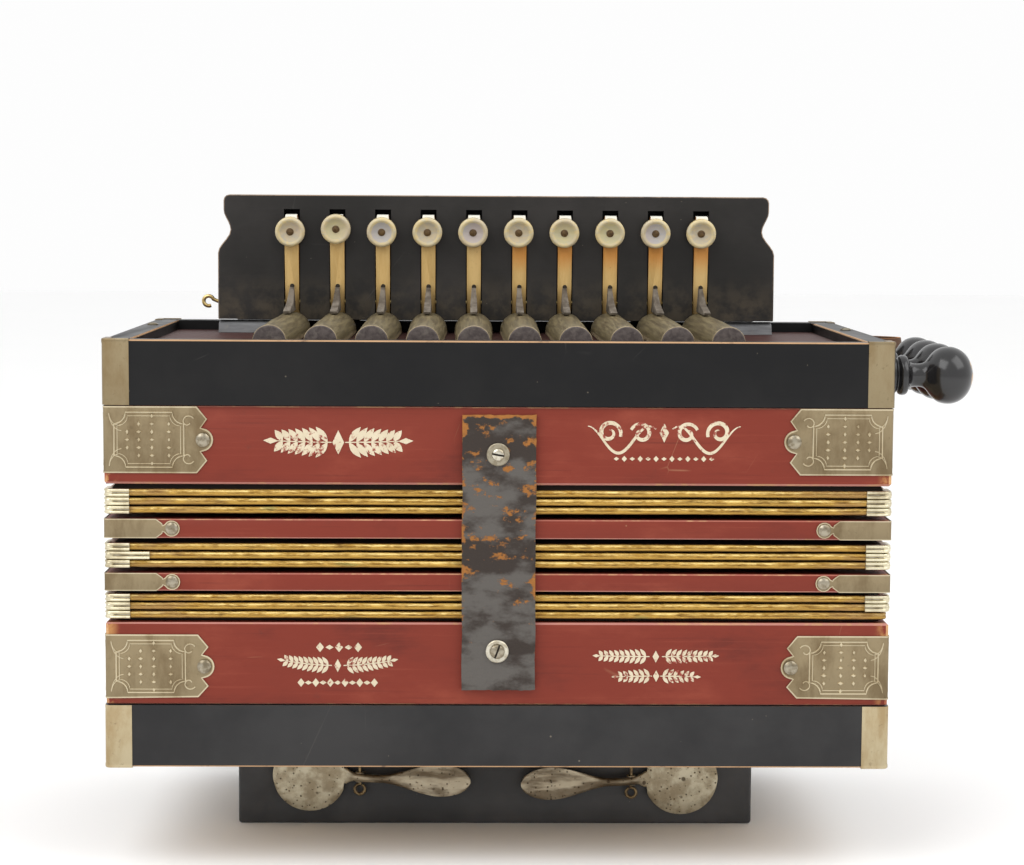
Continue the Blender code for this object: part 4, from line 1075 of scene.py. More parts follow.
def buildShields(body, zCentre, height, dented):
    bm = bmesh.new()
    thickness = shield["thickness"]
    for signX, signY in fourCorners:
        part = bmesh.new()
        half = shieldHalf(height)
        outline = half + [(-s, z) for s, z in reversed(half)]
        if dented:
            outline = [(s, z - 0.5 * mm * sin(s * 900) if z < -height + mm else z) for s, z in outline]
        flatPlate(part, outline, thickness, 1.6 * mm, 0.14 * mm)
        for side in (-1, 1):
            face = thickness - 0.14 * mm
            line = [(side * s, z) for s, z in panelLine(height)]
            addRidge(part, line, 0.75 * mm, 0.30 * mm, face, closed=True)
            middle = (shield["panelStart"] + shield["panelEnd"]) / 2
            inner = [(side * (middle + (s - middle) * 0.91), z * 0.87) for s, z in panelLine(height)]
            addRidge(part, inner, 0.45 * mm, 0.24 * mm, face, closed=True)
            for turn in (-1, 1):      # curls beside the lobe and in the outer corners
                curl = []
                for k in range(17):
                    angle = radians(30 + 300 * k / 16)
                    size = (2.4 - 1.5 * k / 16) * mm
                    curl.append((side * (30.5 * mm + size * cos(angle)),
                                 turn * (height - 5.6 * mm + size * sin(angle))))
                addRidge(part, curl, 0.6 * mm, 0.3 * mm, face)
                for arc in range(2):
                    reach = (4.6 - 1.3 * arc) * mm
                    sweep = [(side * (1.7 * mm + reach * (1 - cos(radians(a)))),
                              turn * (height - 1.6 * mm - reach * 1.6 * sin(radians(a))))
                             for a in range(10, 91, 16)]
                    addRidge(part, sweep, 0.45 * mm, 0.24 * mm, face)
        bendRound(part, signX, signY, zCentre)
        mergeInto(bm, part)
    prefix = body.split("_")[0]
    fit(prefix + "_corner_plates", bm, ["nickel", "nickelReliefPaintedHighlight"], body, "nickel", sharpAngle=40)
    beads, screws = [], []
    for signX, signY in fourCorners:
        for side in (-1, 1):
            facing = (0, signY, 0) if side > 0 else (signX, 0, 0)
            across = (0, 0, 1)
            for column, (s, rows) in enumerate(shield["beads"]):
                level = (signX, 0, 0) if side > 0 else (0, signY, 0)
                for row in range(-rows, rows + 1):
                    spot = wrapPoint(signX, signY, side * s * mm,
                                     thickness - (0.14 if side > 0 else 0.3) * mm,
                                     zCentre + row * shield["beadPitch"])
                    beads.append((spot, facing, across if (row + column) % 2 else level))
            sunk = 0.0 if side > 0 else -1.1 * mm
            spot = wrapPoint(signX, signY, side * (shield["lobeCentre"] + 0.5 * mm), thickness + sunk,
                             zCentre)
            screws.append((spot, facing, across))
    fitCopies(prefix + "_plate_beads", lozenge, beads, 1.4 * mm, 0.3, 4, "nickelReliefPaintedHighlight", body, "nickel", 20)
    fitCopies(prefix + "_plate_screws", plainHead, screws, shield["screwRadius"], 0.05, 2, "screw", body,
              "nickel")


trebleFrameLow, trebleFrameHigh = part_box("treble_frame")
bassFrameLow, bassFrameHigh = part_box("bass_frame")
buildShields("treble_end", trebleFrameHigh.z - 12.4 * mm, 12.25 * mm, False)
buildShields("bass_end", bassFrameLow.z + 14.1 * mm, 11.9 * mm, True)
print("corner plates made")

midClip = dict(thickness=0.4 * mm, reach=20.9 * mm, chamfer=2.3 * mm, screwAt=24.3 * mm, lobe=3.0 * mm,
               screwRadius=2.35 * mm)


def buildMidClips(node, body):
    low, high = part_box(node)
    centre, height = (low.z + high.z) / 2, (high.z - low.z) / 2
    look = midClip
    bm = bmesh.new()
    for signX, signY in fourCorners:
        part = bmesh.new()
        half = [(look["reach"] - look["chamfer"], height), (look["reach"], height - 1.7 * mm)]
        half.append((look["reach"] + 0.1 * mm, 1.15 * mm))
        lobe = min(look["lobe"], height)
        for k in range(13):
            angle = radians(150 - 25 * k)
            half.append((look["screwAt"] + lobe * cos(angle), lobe * sin(angle)))
        half.append((look["reach"] + 0.1 * mm, -1.15 * mm))
        half += [(look["reach"], -height + 1.7 * mm), (look["reach"] - look["chamfer"], -height)]
        flatPlate(part, half + [(-s, z) for s, z in reversed(half)], look["thickness"], 1.0 * mm, 0.06 * mm)
        bendRound(part, signX, signY, centre)
        mergeInto(bm, part)
    prefix = body.split("_")[0]
    fit(prefix + "_frame_clips", bm, ["nickel", "nickelReliefPaintedHighlight"], body, "nickel", sharpAngle=40)
    screws = []
    for signX, signY in fourCorners:
        for side in (-1, 1):
            spot = wrapPoint(signX, signY, side * look["screwAt"], 0.3 * mm if side > 0 else -0.55 * mm,
                             centre)
            screws.append((spot, (0, signY, 0) if side > 0 else (signX, 0, 0), (0, 0, 1)))
    fitCopies(prefix + "_frame_screws", plainHead, screws, look["screwRadius"], 0.05, 5, "screw", body,
              "nickel")


buildMidClips("mid_frame_upper", "upper_fold_frame")
buildMidClips("mid_frame_lower", "lower_fold_frame")


# ---- bellows: dark cloth pleats, gold bands on the ridges, nickel clips at the corners

folds = dict(count=3, pitch=3.17 * mm, bandInset=0.55 * mm, valley=20 * mm, cloth=1.2 * mm,
             cornerRadius=2.6 * mm, clipReach=9.2 * mm, bandHalf=1.35 * mm, ridgeInset=2.2 * mm,
             ridgeHalf=1.1 * mm)


def roundedPath(inset, z, spacing=2.6 * mm, radius=None):
    # a closed level path, counter-clockwise from above
    radius = folds["cornerRadius"] if radius is None else radius
    w, d = frameHalfWidth - inset, frameHalfDepth - inset
    corners = [(w, -d, -90), (w, d, 0), (-w, d, 90), (-w, -d, 180)]
    path = []
    for i, (x, y, first) in enumerate(corners):
        cx, cy = x - copysign(radius, x), y - copysign(radius, y)
        for k in range(7):
            angle = radians(first + 15 * k)
            path.append(Vector((cx + radius * cos(angle), cy + radius * sin(angle), z)))
        following = corners[(i + 1) % 4]
        nx = following[0] - copysign(radius, following[0])
        ny = following[1] - copysign(radius, following[1])
        angle = radians(following[2])
        goal = Vector((nx + radius * cos(angle), ny + radius * sin(angle), z))
        side = frameHalfWidth if i % 2 else frameHalfDepth
        steps = max(int(2 * side / spacing), 1)
        start = path[-1].copy()
        path += [start.lerp(goal, k / steps) for k in range(1, steps)]
    return path


def outlineMesh(points):
    return pathsMesh([([(x * mm, y * mm, 0) for x, y in points], True)])


bandProfile = [(-3.4, -1.1), (-1.2, -1.34), (-0.5, -1.26), (-0.12, -1.0), (-0.02, -0.7), (-0.1, -0.42),
               (-0.34, -0.18), (-0.1, 0.08), (0.0, 0.42), (-0.04, 0.8), (-0.22, 1.12), (-0.6, 1.3),
               (-1.2, 1.34), (-3.4, 1.1)]
clipProfile = [(-3.0, -1.3), (-0.6, -1.5), (0.0, -1.38), (0.26, -1.02), (0.18, -0.62), (-0.1, -0.34),
               (-0.55, -0.22), (-0.55, 0.22), (-0.1, 0.34), (0.18, 0.62), (0.26, 1.02), (0.0, 1.38),
               (-0.6, 1.5), (-3.0, 1.3)]
bandOutline = modelObject("band_outline", mesh=outlineMesh(bandProfile))
clipOutline = modelObject("clip_outline", mesh=outlineMesh(clipProfile))


def foldHeights(node):
    low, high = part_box(node)
    middle = (low.z + high.z) / 2
    return [middle + folds["pitch"] * (k - 1) for k in range(folds["count"])]


def holdFolds(piece, heights, edges, lower, upper):
    # every point of a band follows its own fold, and the pleats between them stretch evenly
    low, high = edges
    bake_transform(piece, lower, upper, start=(0, 0, low), end=(0, 0, high))
    count = len(heights)
    weights = []
    for vert in piece.data.vertices:
        nearest = min(range(count), key=lambda k: abs(vert.co.z - heights[k]))
        weights.append((nearest + 0.5) / count)
    piece.data.attributes["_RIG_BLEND"].data.foreach_set("value", weights)


def clipPath(signX, signY, z, reach, sideReach):
    # runs so that the outer side lies to the right of its travel
    radius, inset = folds["cornerRadius"], -0.15 * mm
    w, d = frameHalfWidth - inset, frameHalfDepth - inset
    points = [(reach, 0), ((reach + radius) / 2, 0), (radius, 0)]
    for k in range(1, 7):
        angle = pi / 2 * k / 7
        points.append((radius - radius * sin(angle), radius - radius * cos(angle)))
    points += [(0, radius), (0, (sideReach + radius) / 2), (0, sideReach)]
    path = [Vector((signX * (w - x), signY * (d - y), z)) for x, y in points]
    return path if signX * signY < 0 else path[::-1]


def buildSection(node, label, lower, upper, endInsets, oddClips):
    heights = foldHeights(node)
    lowZ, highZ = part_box(node)[0].z - 0.2 * mm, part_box(node)[1].z + 0.2 * mm
    bands = runTree(label + "_gold_bands", runAlongPaths, pathsMesh([
        (roundedPath(folds["bandInset"], z), True) for z in heights]), {
            "Profile": bandOutline, "Wave Length": 0.02, "Wave Height": 0.55 * mm,
            "Seed": 3.0 + heights[0] * 50, "Finish": finishes["gold"]}, 60)
    # each point's height in its band, from which the gold finish paints highlight and shade
    level = bands.data.attributes.new("level", "FLOAT", "POINT")
    level.data.foreach_set("value", [
        min(((v.co.z - z) / folds["bandHalf"] for z in heights), key=abs) for v in bands.data.vertices])
    clips = []
    for k, z in enumerate(heights):
        for signX, signY in fourCorners:
            reach = folds["clipReach"]
            if signY < 0:
                reach = oddClips.get((k, signX), reach)
            if reach:
                clips.append((clipPath(signX, signY, z, reach, folds["clipReach"]), False))
    metal = runTree(label + "_fold_clips", runAlongPaths, pathsMesh(clips), {
        "Profile": clipOutline, "Wave Length": 0.004, "Wave Height": 0.2 * mm, "Seed": 8.0 + heights[0] * 50,
        "Finish": finishes["nickelClip"]}, 50)
    # the middle groove of each clip takes the darker screw metal, a painted shade in the groove
    metal.data.materials.append(finishes["screw"])
    for face in metal.data.polygons:
        if min(abs(face.center.z - z) for z in heights) < 0.25 * mm:
            face.material_index = 1
    bulbs = bmesh.new()
    for path, closed in clips:
        corner = path[len(path) // 2]
        profile = [(-1.5 * cos(pi * k / 8) * mm, 1.75 * sin(pi * k / 8) * mm) for k in range(9)]
        profile = [(a, r if r > 1e-6 else 0) for a, r in profile]
        inward = Vector((-copysign(0.9, corner.x), -copysign(0.9, corner.y), 0)) * mm
        addTurned(bulbs, profile, corner + inward, (0, 0, 1), 16)
    bulbPiece = makePiece(label + "_clip_bulbs", bulbs, ["nickelClip"])
    for piece, slot in ((bands, "gold_fold"), (metal, "nickel"), (bulbPiece, "nickel")):
        holdFolds(piece, heights, (lowZ, highZ), lower, upper)

    # the cloth: ring, its inset, height and share of the opening
    count = folds["count"]
    rings = [(endInsets[0], lowZ, 0.0)]
    for k, z in enumerate(heights):
        share = (k + 0.5) / count
        rings += [(folds["ridgeInset"], z - folds["ridgeHalf"], share),
                  (folds["ridgeInset"], z + folds["ridgeHalf"], share)]
        if k < count - 1:
            rings.append((folds["valley"], (z + heights[k + 1]) / 2, (k + 1) / count))
    rings.append((endInsets[1], highZ, 1.0))
    bm = bmesh.new()
    shares = bm.verts.layers.float.new("share")
    inner = [(inset + folds["cloth"], z, share) for inset, z, share in reversed(rings)]
    loops = rings + inner
    made = joinRings(bm, [roundedPath(inset, z, 12 * mm, 1.5 * mm) for inset, z, share in loops], looped=True)
    for loop, (inset, z, share) in zip(made, loops):
        for vert in loop:
            vert[shares] = share
    bmesh.ops.recalc_face_normals(bm, faces=bm.faces)
    mesh = bpy.data.meshes.new(label + "_cloth")
    bm.to_mesh(mesh)
    bm.free()
    cloth = meshPiece(label + "_fold_cloth", mesh, ["cloth"], 30)
    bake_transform(cloth, lower, upper, start=(0, 0, lowZ), end=(0, 0, highZ))
    values = [item.value for item in mesh.attributes["share"].data]
    mesh.attributes["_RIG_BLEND"].data.foreach_set("value", values)
    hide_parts(node)


buildSection("bellows_lower", "lower_folds", "bass_end", "lower_fold_frame", (3.6 * mm, 19 * mm), {(0, 1): 0})
buildSection("bellows_middle", "middle_folds", "lower_fold_frame", "upper_fold_frame", (19 * mm, 19 * mm),
             {(1, -1): 16.5 * mm})
buildSection("bellows_upper", "upper_folds", "upper_fold_frame", "treble_end", (19 * mm, 3.6 * mm), {})
print("bellows made")


# ---- painted ornament on the red frames

ornament = dict(film=0.07 * mm, sink=0.02 * mm)


def addStroke(bm, line, widths):
    # a flat painted stroke on the front of the frames; widths ease from the first to the last
    y = -frameHalfDepth
    left, right = [], []
    count = len(line)
    film = ornament["film"] + (len(bm.verts) * 7 % 23) * 0.004 * mm     # so that strokes cross cleanly
    for i, (x, z) in enumerate(line):
        run = (Vector(line[min(i + 1, count - 1)]) - Vector(line[max(i - 1, 0)])).normalized()
        t = i / (count - 1)
        width = widths[0] + (widths[2] - widths[0]) * t + (widths[1]
                                                           - (widths[0] + widths[2]) / 2) * sin(pi * t)
        side = Vector((-run.y, run.x)) * width / 2
        left.append((x + side.x, z + side.y))
        right.append((x - side.x, z - side.y))
    rings = []
    for (ax, az), (bx, bz) in zip(left, right):
        front, back = y - film, y + ornament["sink"]
        rings.append([(ax, front, az), (bx, front, bz), (bx, back, bz), (ax, back, az)])
    joinRings(bm, rings)


def scrollLine(x, z, size, start, turns, flip=1):
    line = []
    steps = int(26 * abs(turns))
    for k in range(steps + 1):
        t = k / steps
        angle = radians(start) + 2 * pi * turns * t
        radius = size * (1 - 0.78 * t)
        line.append((x + flip * radius * cos(angle), z + radius * sin(angle)))
    return line


def waveLine(x0, x1, z, swing, periods, phase=0.0):
    return [(x0 + (x1 - x0) * k / 40, z + swing * sin(phase + 2 * pi * periods * k / 40)) for k in range(41)]


def addLozenge(bm, x, z, width, height):
    addStroke(bm, [(x - width / 2, z), (x, z), (x + width / 2, z)], (0.05 * mm, height, 0.05 * mm))


def garland(bm, x, z, width, sag, count, length, weight):
    # two branches of leaves that grow outward from a lozenge; sag lifts their tips
    half = width / 2
    for flip in (-1, 1):
        stem = []
        for k in range(21):
            run = half * (0.1 + 0.82 * k / 20)
            stem.append((x + flip * run, z + sag * (run / half) ** 2))
        addStroke(bm, stem, (0.35 * mm, 0.5 * mm, 0.25 * mm))
        for k in range(count):
            run = half * (0.16 + 0.78 * k / count)
            foot = Vector((x + flip * run, z + sag * (run / half) ** 2))
            slope = atan(2 * sag * run / half ** 2)
            size = length * (1 - 0.35 * k / count)
            for lean in (58, -58):
                angle = slope + radians(lean)
                reach = Vector((flip * cos(angle), sin(angle)))
                bend = Vector((flip * 0.12, 0)) * size
                leaf = [foot + reach * size * t + bend * t * t for t in (0, 0.2, 0.4, 0.6, 0.8, 1)]
                addStroke(bm, [tuple(spot) for spot in leaf], (0.15 * mm, weight, 0.1 * mm))
        tip = Vector((x + flip * half * 0.9, z + sag * 0.81))
        addStroke(bm, [tuple(tip), (tip.x + flip * length * 0.4, tip.y + sag * 0.12),
                       (x + flip * half * 0.9 + flip * length * 0.8, tip.y + sag * 0.25)],
                  (0.15 * mm, weight * 0.9, 0.1 * mm))
    addLozenge(bm, x, z, weight * 1.7, length * 1.35)


def lozengeRow(bm, x, z, width, count, height):
    for k in range(count):
        tall = height if k % 2 == 0 else height * 0.5
        addLozenge(bm, x + (k / (count - 1) - 0.5) * width, z, height * 0.8, tall)


def lightFlourish(bm, x, z, width, height):
    h = height / 2
    for flip in (-1, 1):
        addStroke(bm, scrollLine(x + flip * width * 0.36, z + h * 0.42, h * 0.55, 200, -1.3, flip),
                  (1.2 * mm, 1.5 * mm, 0.4 * mm))
        addStroke(bm, scrollLine(x + flip * width * 0.15, z + h * 0.38, h * 0.5, 20, 1.25, flip),
                  (1.1 * mm, 1.4 * mm, 0.4 * mm))
        line = waveLine(x + flip * 3 * mm, x + flip * width * 0.5, z + h * 0.1, h * 0.62, 1.1, 0.9)
        addStroke(bm, line, (0.5 * mm, 1.1 * mm, 0.3 * mm))
    addLozenge(bm, x, z + h * 0.42, 3.4 * mm, h * 0.9)
    count = 13
    for k in range(count):
        addLozenge(bm, x + (k - (count - 1) / 2) * width * 0.052, z - h * 0.78, 1.9 * mm,
                   2.2 * mm if k % 2 else 1.4 * mm)


def buildOrnament():
    treble = bmesh.new()
    middle = (trebleFrameLow.z + trebleFrameHigh.z) / 2 + 1.2 * mm
    garland(treble, -58.8 * mm, middle, 49 * mm, 0.6 * mm, 7, 6.6 * mm, 2.5 * mm)
    lightFlourish(treble, 60.4 * mm, middle + 0.6 * mm, 56 * mm, 16 * mm)
    fit("treble_frame_ornament", treble, ["cream"], "treble_end", "red_paint")
    bass = bmesh.new()
    middle = (bassFrameLow.z + bassFrameHigh.z) / 2 - 0.6 * mm
    lozengeRow(bass, -58.6 * mm, middle + 6.6 * mm, 14 * mm, 5, 3.6 * mm)
    garland(bass, -59.1 * mm, middle - 0.2 * mm, 43 * mm, 2.2 * mm, 9, 3.6 * mm, 1.45 * mm)
    lozengeRow(bass, -59.1 * mm, middle - 6.6 * mm, 27 * mm, 11, 3.2 * mm)
    garland(bass, 58.2 * mm, middle + 3.4 * mm, 46 * mm, 0.3 * mm, 9, 3.3 * mm, 1.4 * mm)
    garland(bass, 58.4 * mm, middle - 3.9 * mm, 31 * mm, -0.3 * mm, 6, 3.2 * mm, 1.35 * mm)
    fit("bass_frame_ornament", bass, ["cream"], "bass_end", "red_paint")


buildOrnament()


# ---- closing strap and its screws

def leatherSlab(low, high, keepTop=False, keepFoot=False):
    # a leather strip in the XZ plane with a soft front and raw edges
    cell, edgeWave, seed = 1.6 * mm, 0.5 * mm, 2.0
    columns = max(int((high.x - low.x) / cell), 2)
    rows = max(int((high.z - low.z) / cell), 2)
    bm = bmesh.new()

    def pointAt(i, j, front):
        u, v = i / columns, j / rows
        x = low.x + (high.x - low.x) * u
        z = low.z + (high.z - low.z) * v
        sway = noise.noise(Vector((seed, z * 60, 0))) * edgeWave
        nick = noise.noise(Vector((seed + u * 9, z * 420, 3))) * edgeWave * 0.35
        x += (sway + nick) * (abs(u - 0.5) * 2) ** 4
        fray = noise.noise(Vector((x * 400, seed, 7))) * 0.4 * mm
        if j == rows and not keepTop:
            z += fray - 0.4 * mm
        if j == 0 and not keepFoot:
            z += fray + 0.4 * mm
        if not front:
            return bm.verts.new((x, high.y, z))
        lump = noise.noise(Vector((x * 150, z * 150, seed))) * 0.16 * mm
        rim = min(i, columns - i) == 0 or (j == rows and not keepTop) or (j == 0 and not keepFoot)
        return bm.verts.new((x, low.y + 0.22 * mm + lump + (0.3 * mm if rim else 0), z))

    fronts = [[pointAt(i, j, True) for i in range(columns + 1)] for j in range(rows + 1)]
    backs = [[pointAt(i, j, False) for i in range(columns + 1)] for j in range(rows + 1)]
    for grid in (fronts, backs):
        for j in range(rows):
            for i in range(columns):
                face = bm.faces.new((grid[j][i], grid[j][i + 1], grid[j + 1][i + 1], grid[j + 1][i]))
                face.material_index = 0 if grid is fronts else 1
    edge = [(0, i, 0, i + 1) for i in range(columns)] + [(rows, i, rows, i + 1) for i in range(columns)]
    edge += [(j, 0, j + 1, 0) for j in range(rows)] + [(j, columns, j + 1, columns) for j in range(rows)]
    for a, b, c, d in edge:
        bm.faces.new((fronts[a][b], fronts[c][d], backs[c][d], backs[a][b])).material_index = 1
    return bm


def buildStrap():
    low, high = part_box("strap_tail")
    bend = (high.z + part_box("bellows_strap")[0].z) / 2
    low.x, high.x, high.z = low.x + 0.5 * mm, high.x - 0.5 * mm, bend
    bm = leatherSlab(low, high, keepTop=True)
    fit("closing_strap_tail", bm, ["strap", "rawEdge"], "bass_end", "strap_leather", "strap_tail",
        sharpAngle=60)
    low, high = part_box("bellows_strap")
    low.x, high.x, low.z = low.x + 0.5 * mm, high.x - 0.5 * mm, bend
    bm = leatherSlab(low, high, keepFoot=True)
    fit("closing_strap_flap", bm, ["strap", "rawEdge"], "strap_flap", "strap_leather", "bellows_strap",
        sharpAngle=60)


def buildStrapScrew(name, body, centre, washerRadius, headRadius, slotTurn, dish, metals, *replaced):
    # centre lies on the strap's face
    washer = bmesh.new()
    t = 0.8 * mm
    profile = [(-0.25 * mm, 0), (-0.25 * mm, washerRadius - 0.2 * mm), (0.1 * mm, washerRadius),
               (t - 0.3 * mm, washerRadius), (t, washerRadius - 0.35 * mm), (t - dish, headRadius),
               (t - dish, 0)]
    addTurned(washer, profile, centre, (0, -1, 0), 40)
    fit(name + "_washer", washer, [metals[0]], body, "nickel")
    head = bmesh.new()
    base = t - dish - 0.1 * mm
    profile = [(base, 0), (base, headRadius), (base + 0.4 * mm, headRadius)]
    profile += [(base + 0.4 * mm + 1.0 * mm * sin(pi / 2 * k / 6), headRadius * cos(pi / 2 * k / 6))
                for k in range(1, 6)]
    profile.append((base + 1.4 * mm, 0))
    addTurned(head, profile, centre, (0, -1, 0), 40)
    piece = makePiece(name + "_head", head, [metals[1]])
    cutter = bmesh.new()
    reach, half = 4 * mm, 0.36 * mm
    addBlock(cutter, (-reach, -3 * mm, -half), (reach, -base - 0.6 * mm, half))
    bmesh.ops.rotate(cutter, verts=cutter.verts, cent=(0, 0, 0), matrix=turnAboutY(slotTurn))
    bmesh.ops.translate(cutter, verts=cutter.verts, vec=centre)
    carve(piece, cutter)
    settle(piece, body, "nickel", *replaced)


def turnAboutY(degrees):
    return Matrix.Rotation(radians(degrees), 3, "Y")


buildStrap()
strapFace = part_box("bellows_strap")[0].y
upperScrew = sum(corner.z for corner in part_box("strap_screw")) / 2
lowerScrew = upperScrew - 72.7 * mm
buildStrapScrew("upper_strap_screw", "strap_flap", Vector((-0.4 * mm, strapFace, upperScrew)), 4.2 * mm,
                2.35 * mm, 10, 0.0, ("washer", "screwBright"), "strap_screw")
buildStrapScrew("lower_strap_screw", "bass_end", Vector((-0.4 * mm, strapFace, lowerScrew)), 4.2 * mm,
                2.7 * mm, -70, 0.35 * mm, ("washerPale", "screw"))
print("strap made")


# ---- fingerboard, board and key work

keyLook = dict(lean=radians(9.0), dish=1.0 * mm, pin=1.55 * mm, facing=1.5 * mm,
               dishes=["pearlDish", "pearlYellow", "pearlGrey", "pearlDish", "pearlGrey",
                       "pearlDish", "pearlYellow", "pearlYellow", "pearlGrey", "pearlDish"])


def buildFingerboard():
    bm = copyOfNode("fingerboard")
    low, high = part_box("fingerboard")

    def outline(edge):
        foot = all(v.co.z < low.z + 0.1 * mm for v in edge.verts)
        return not foot and all(v.co.z > high.z - 3 * mm or abs(v.co.x) > high.x - 6 * mm for v in edge.verts)

    softenEdges(bm, 0.45 * mm, 2, 1, angle=50, choose=outline)
    fit("fingerboard_plate", bm, ["lacquerBoard", "boardRim"], "treble_end", "black_lacquer", "fingerboard")
    bm = copyOfNode("pallet_board")
    fit("pallet_board_top", bm, ["board"], "treble_end", "board_wood", "pallet_board")


def buildMoulding():
    # short quarter-round strips in the corner between the board and the fingerboard's ends
    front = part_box("fingerboard")[0].y
    foot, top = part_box("pallet_board")[1].z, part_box("fingerboard")[0].z + 1.2 * mm
    bm = bmesh.new()
    for x0, x1 in ((-115.4 * mm, -93.5 * mm), (94.8 * mm, 115.0 * mm)):
        rings = []
        for x in (x0, x0 + 0.4 * mm, x1 - 0.4 * mm, x1):
            small = 0.85 if x in (x0, x1) else 1.0
            ring = [(x, front + 4.5 * mm, foot + 0.1 * mm)]
            for k in range(9):
                angle = pi / 2 * k / 8
                ring.append((x, front + 4.5 * mm - 4.6 * mm * small * cos(angle) ** 0.8,
                             foot + 0.1 * mm + (top - foot - 0.4 * mm) * small * sin(angle) ** 0.8))
            ring[1] = (x, front - 0.1 * mm * small, foot + 0.1 * mm)
            rings.append(ring)
        joinRings(bm, rings)
    fit("fingerboard_moulding", bm, ["moulding"], "treble_end", "black_lacquer")


def buildLever(key):
    bm = copyOfNode("key_lever_" + key)
    low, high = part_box("key_lever_" + key)
    middle = (low.x + high.x) / 2
    arms = [face for face in bm.faces if high.x - low.x > 4 * mm
            and abs(face.calc_center_median().x - middle) < 1.6 * mm
            and face.calc_center_median().z < rimZ + 16 * mm
            and all(abs(v.co.x - middle) < 1.7 * mm for v in face.verts)]
    for face in arms:
        face.material_index = 1
    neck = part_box("key_button_" + key)[1].z - 3 * mm
    geometry = bm.verts[:] + bm.edges[:] + bm.faces[:]
    bmesh.ops.bisect_plane(bm, geom=geometry, plane_co=(0, 0, neck), plane_no=(0, 0, 1))
    for vert in bm.verts:
        if vert.co.z > neck + 0.1 * mm:
            vert.co.x = middle + (vert.co.x - middle) * 0.82
    for vert in {v for face in arms for v in face.verts}:
        if vert.co.z > rimZ + 11 * mm:
            vert.co.x = middle + (vert.co.x - middle) * 0.62
    softenEdges(bm, 0.3 * mm, 2, angle=50)
    for face in bm.faces:
        if abs(face.normal.x) > 0.6 and face.material_index == 0:
            face.material_index = 2
    lever = nodes["key_lever_" + key].data
    front = min(v.co.y for v in lever.vertices if v.co.z > high.z - 2 * mm)
    # a dark plug in the lever's hole, a painted shade where the hole is
    hole = Vector((middle + 0.1 * mm, front + 3.6 * mm, rimZ + 15.5 * mm))
    addTurned(bm, [(-0.6 * mm, 0), (-0.6 * mm, 0.95 * mm), (0.32 * mm, 0.95 * mm), (0.42 * mm, 0)], hole,
              (0, -cos(keyLook["lean"]), -sin(keyLook["lean"])), 12, 3)
    keys = ["lever", "arm", "leverEdge", "slot"]
    fit(f"key_{key}_lever", bm, keys, "key_" + key, "lever_wood", "key_lever_" + key)


def buildButton(key):
    low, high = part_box("key_button_" + key)
    lean = keyLook["lean"]
    outward = Vector((0, -cos(lean), -sin(lean)))
    radius = (high.x - low.x) / 2 - 0.2 * mm
    thick = 3.2 * mm
    middle = (low + high) / 2 + Vector((-0.4, 0, 0.4)) * mm
    back = middle - outward * thick / 2
    bm = bmesh.new()
    profile = [(0, 0), (0, radius - 0.7 * mm), (0.35 * mm, radius - 0.25 * mm), (0.9 * mm, radius)]
    profile += [(thick - 0.95 * mm, radius), (thick - 0.55 * mm, radius - 0.1 * mm),
                (thick - 0.2 * mm, radius - 0.4 * mm)]
    profile += [(thick, radius - 0.95 * mm), (thick - 0.04 * mm, radius - 1.3 * mm)]
    for k in range(1, 6):
        share = k / 5
        profile.append((thick - 0.08 * mm - keyLook["dish"] * sin(pi / 2 * share),
                        radius - 1.3 * mm - (radius - 1.3 * mm - keyLook["pin"]) * share))
    profile.append((thick - 0.08 * mm - keyLook["dish"], 0))
    addTurned(bm, profile[:10], back, outward, 44)
    addTurned(bm, profile[9:], back, outward, 44, 2)
    pin = keyLook["pin"]
    floor = thick - keyLook["dish"]
    head = [(floor - 0.3 * mm, 0), (floor - 0.3 * mm, pin), (floor + 0.1 * mm, pin),
            (floor + 0.32 * mm, pin * 0.7)]
    head.append((floor + 0.4 * mm, 0))
    addTurned(bm, head, back, outward, 20, 1)
    keys = ["pearl", "pin", keyLook["dishes"][int(key) - 1]]
    fit(f"key_{key}_button", bm, keys, "key_" + key, "pearl", "key_button_" + key)


def palletRing(x, y, half, floor, height, shrink):
    # flat sole, short upright sides and an arch
    half, top = half - shrink, height - shrink
    shoulder = top - half * 0.95
    points = [(x - half, y, floor), (x + half, y, floor), (x + half, y, floor + keyLook["facing"])]
    for k in range(21):
        angle = pi * k / 20
        points.append((x + half * cos(angle), y, floor + shoulder + (top - shoulder) * sin(angle)))
    points.append((x - half, y, floor + keyLook["facing"]))
    return points


def buildPallet(index, key):
    low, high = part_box("key_pallet_" + key)
    x = (low.x + high.x) / 2
    rear = (high.x - low.x) / 2
    front = 6.2 / 7.9 * rear
    height = high.z - low.z
    chance = random.Random(40 + index)
    bm = bmesh.new()
    stations = [(0.0, 0.55), (0.004, 0.18), (0.010, 0.0)] + [(k / 12, 0.0) for k in range(1, 12)]
    stations += [(0.990, 0.0), (0.996, 0.18), (1.0, 0.5)]
    rings = []
    for share, shrink in stations:
        y = low.y + (high.y - low.y) * share
        half = front + (rear - front) * share
        lump = 0.10 * mm * sin(share * 9 + chance.random())
        rings.append(palletRing(x, y, half, low.z, height,
                                shrink * mm + lump if 0.02 < share < 0.98 else shrink * mm))
    joinRings(bm, rings)
    bm.faces.ensure_lookup_table()
    for face in bm.faces:
        centre = face.calc_center_median()
        if centre.z < low.z + keyLook["facing"] * 0.98:
            face.material_index = 2
        if centre.y < low.y + 0.9 * mm or centre.y > high.y - 0.4 * mm:
            face.material_index = 1 if centre.z > low.z + keyLook["facing"] * 0.7 else 2
        if low.y + 0.25 * mm < centre.y < low.y + 0.9 * mm:
            face.material_index = 2
    fit(f"key_{key}_pallet", bm, ["pallet", "palletEnd", "facing"], "key_" + key, "pallet_wood",
        "key_pallet_" + key)


buildFingerboard()
buildMoulding()
for index, key in enumerate(keyNames):
    buildLever(key)
    buildButton(key)
    buildPallet(index, key)


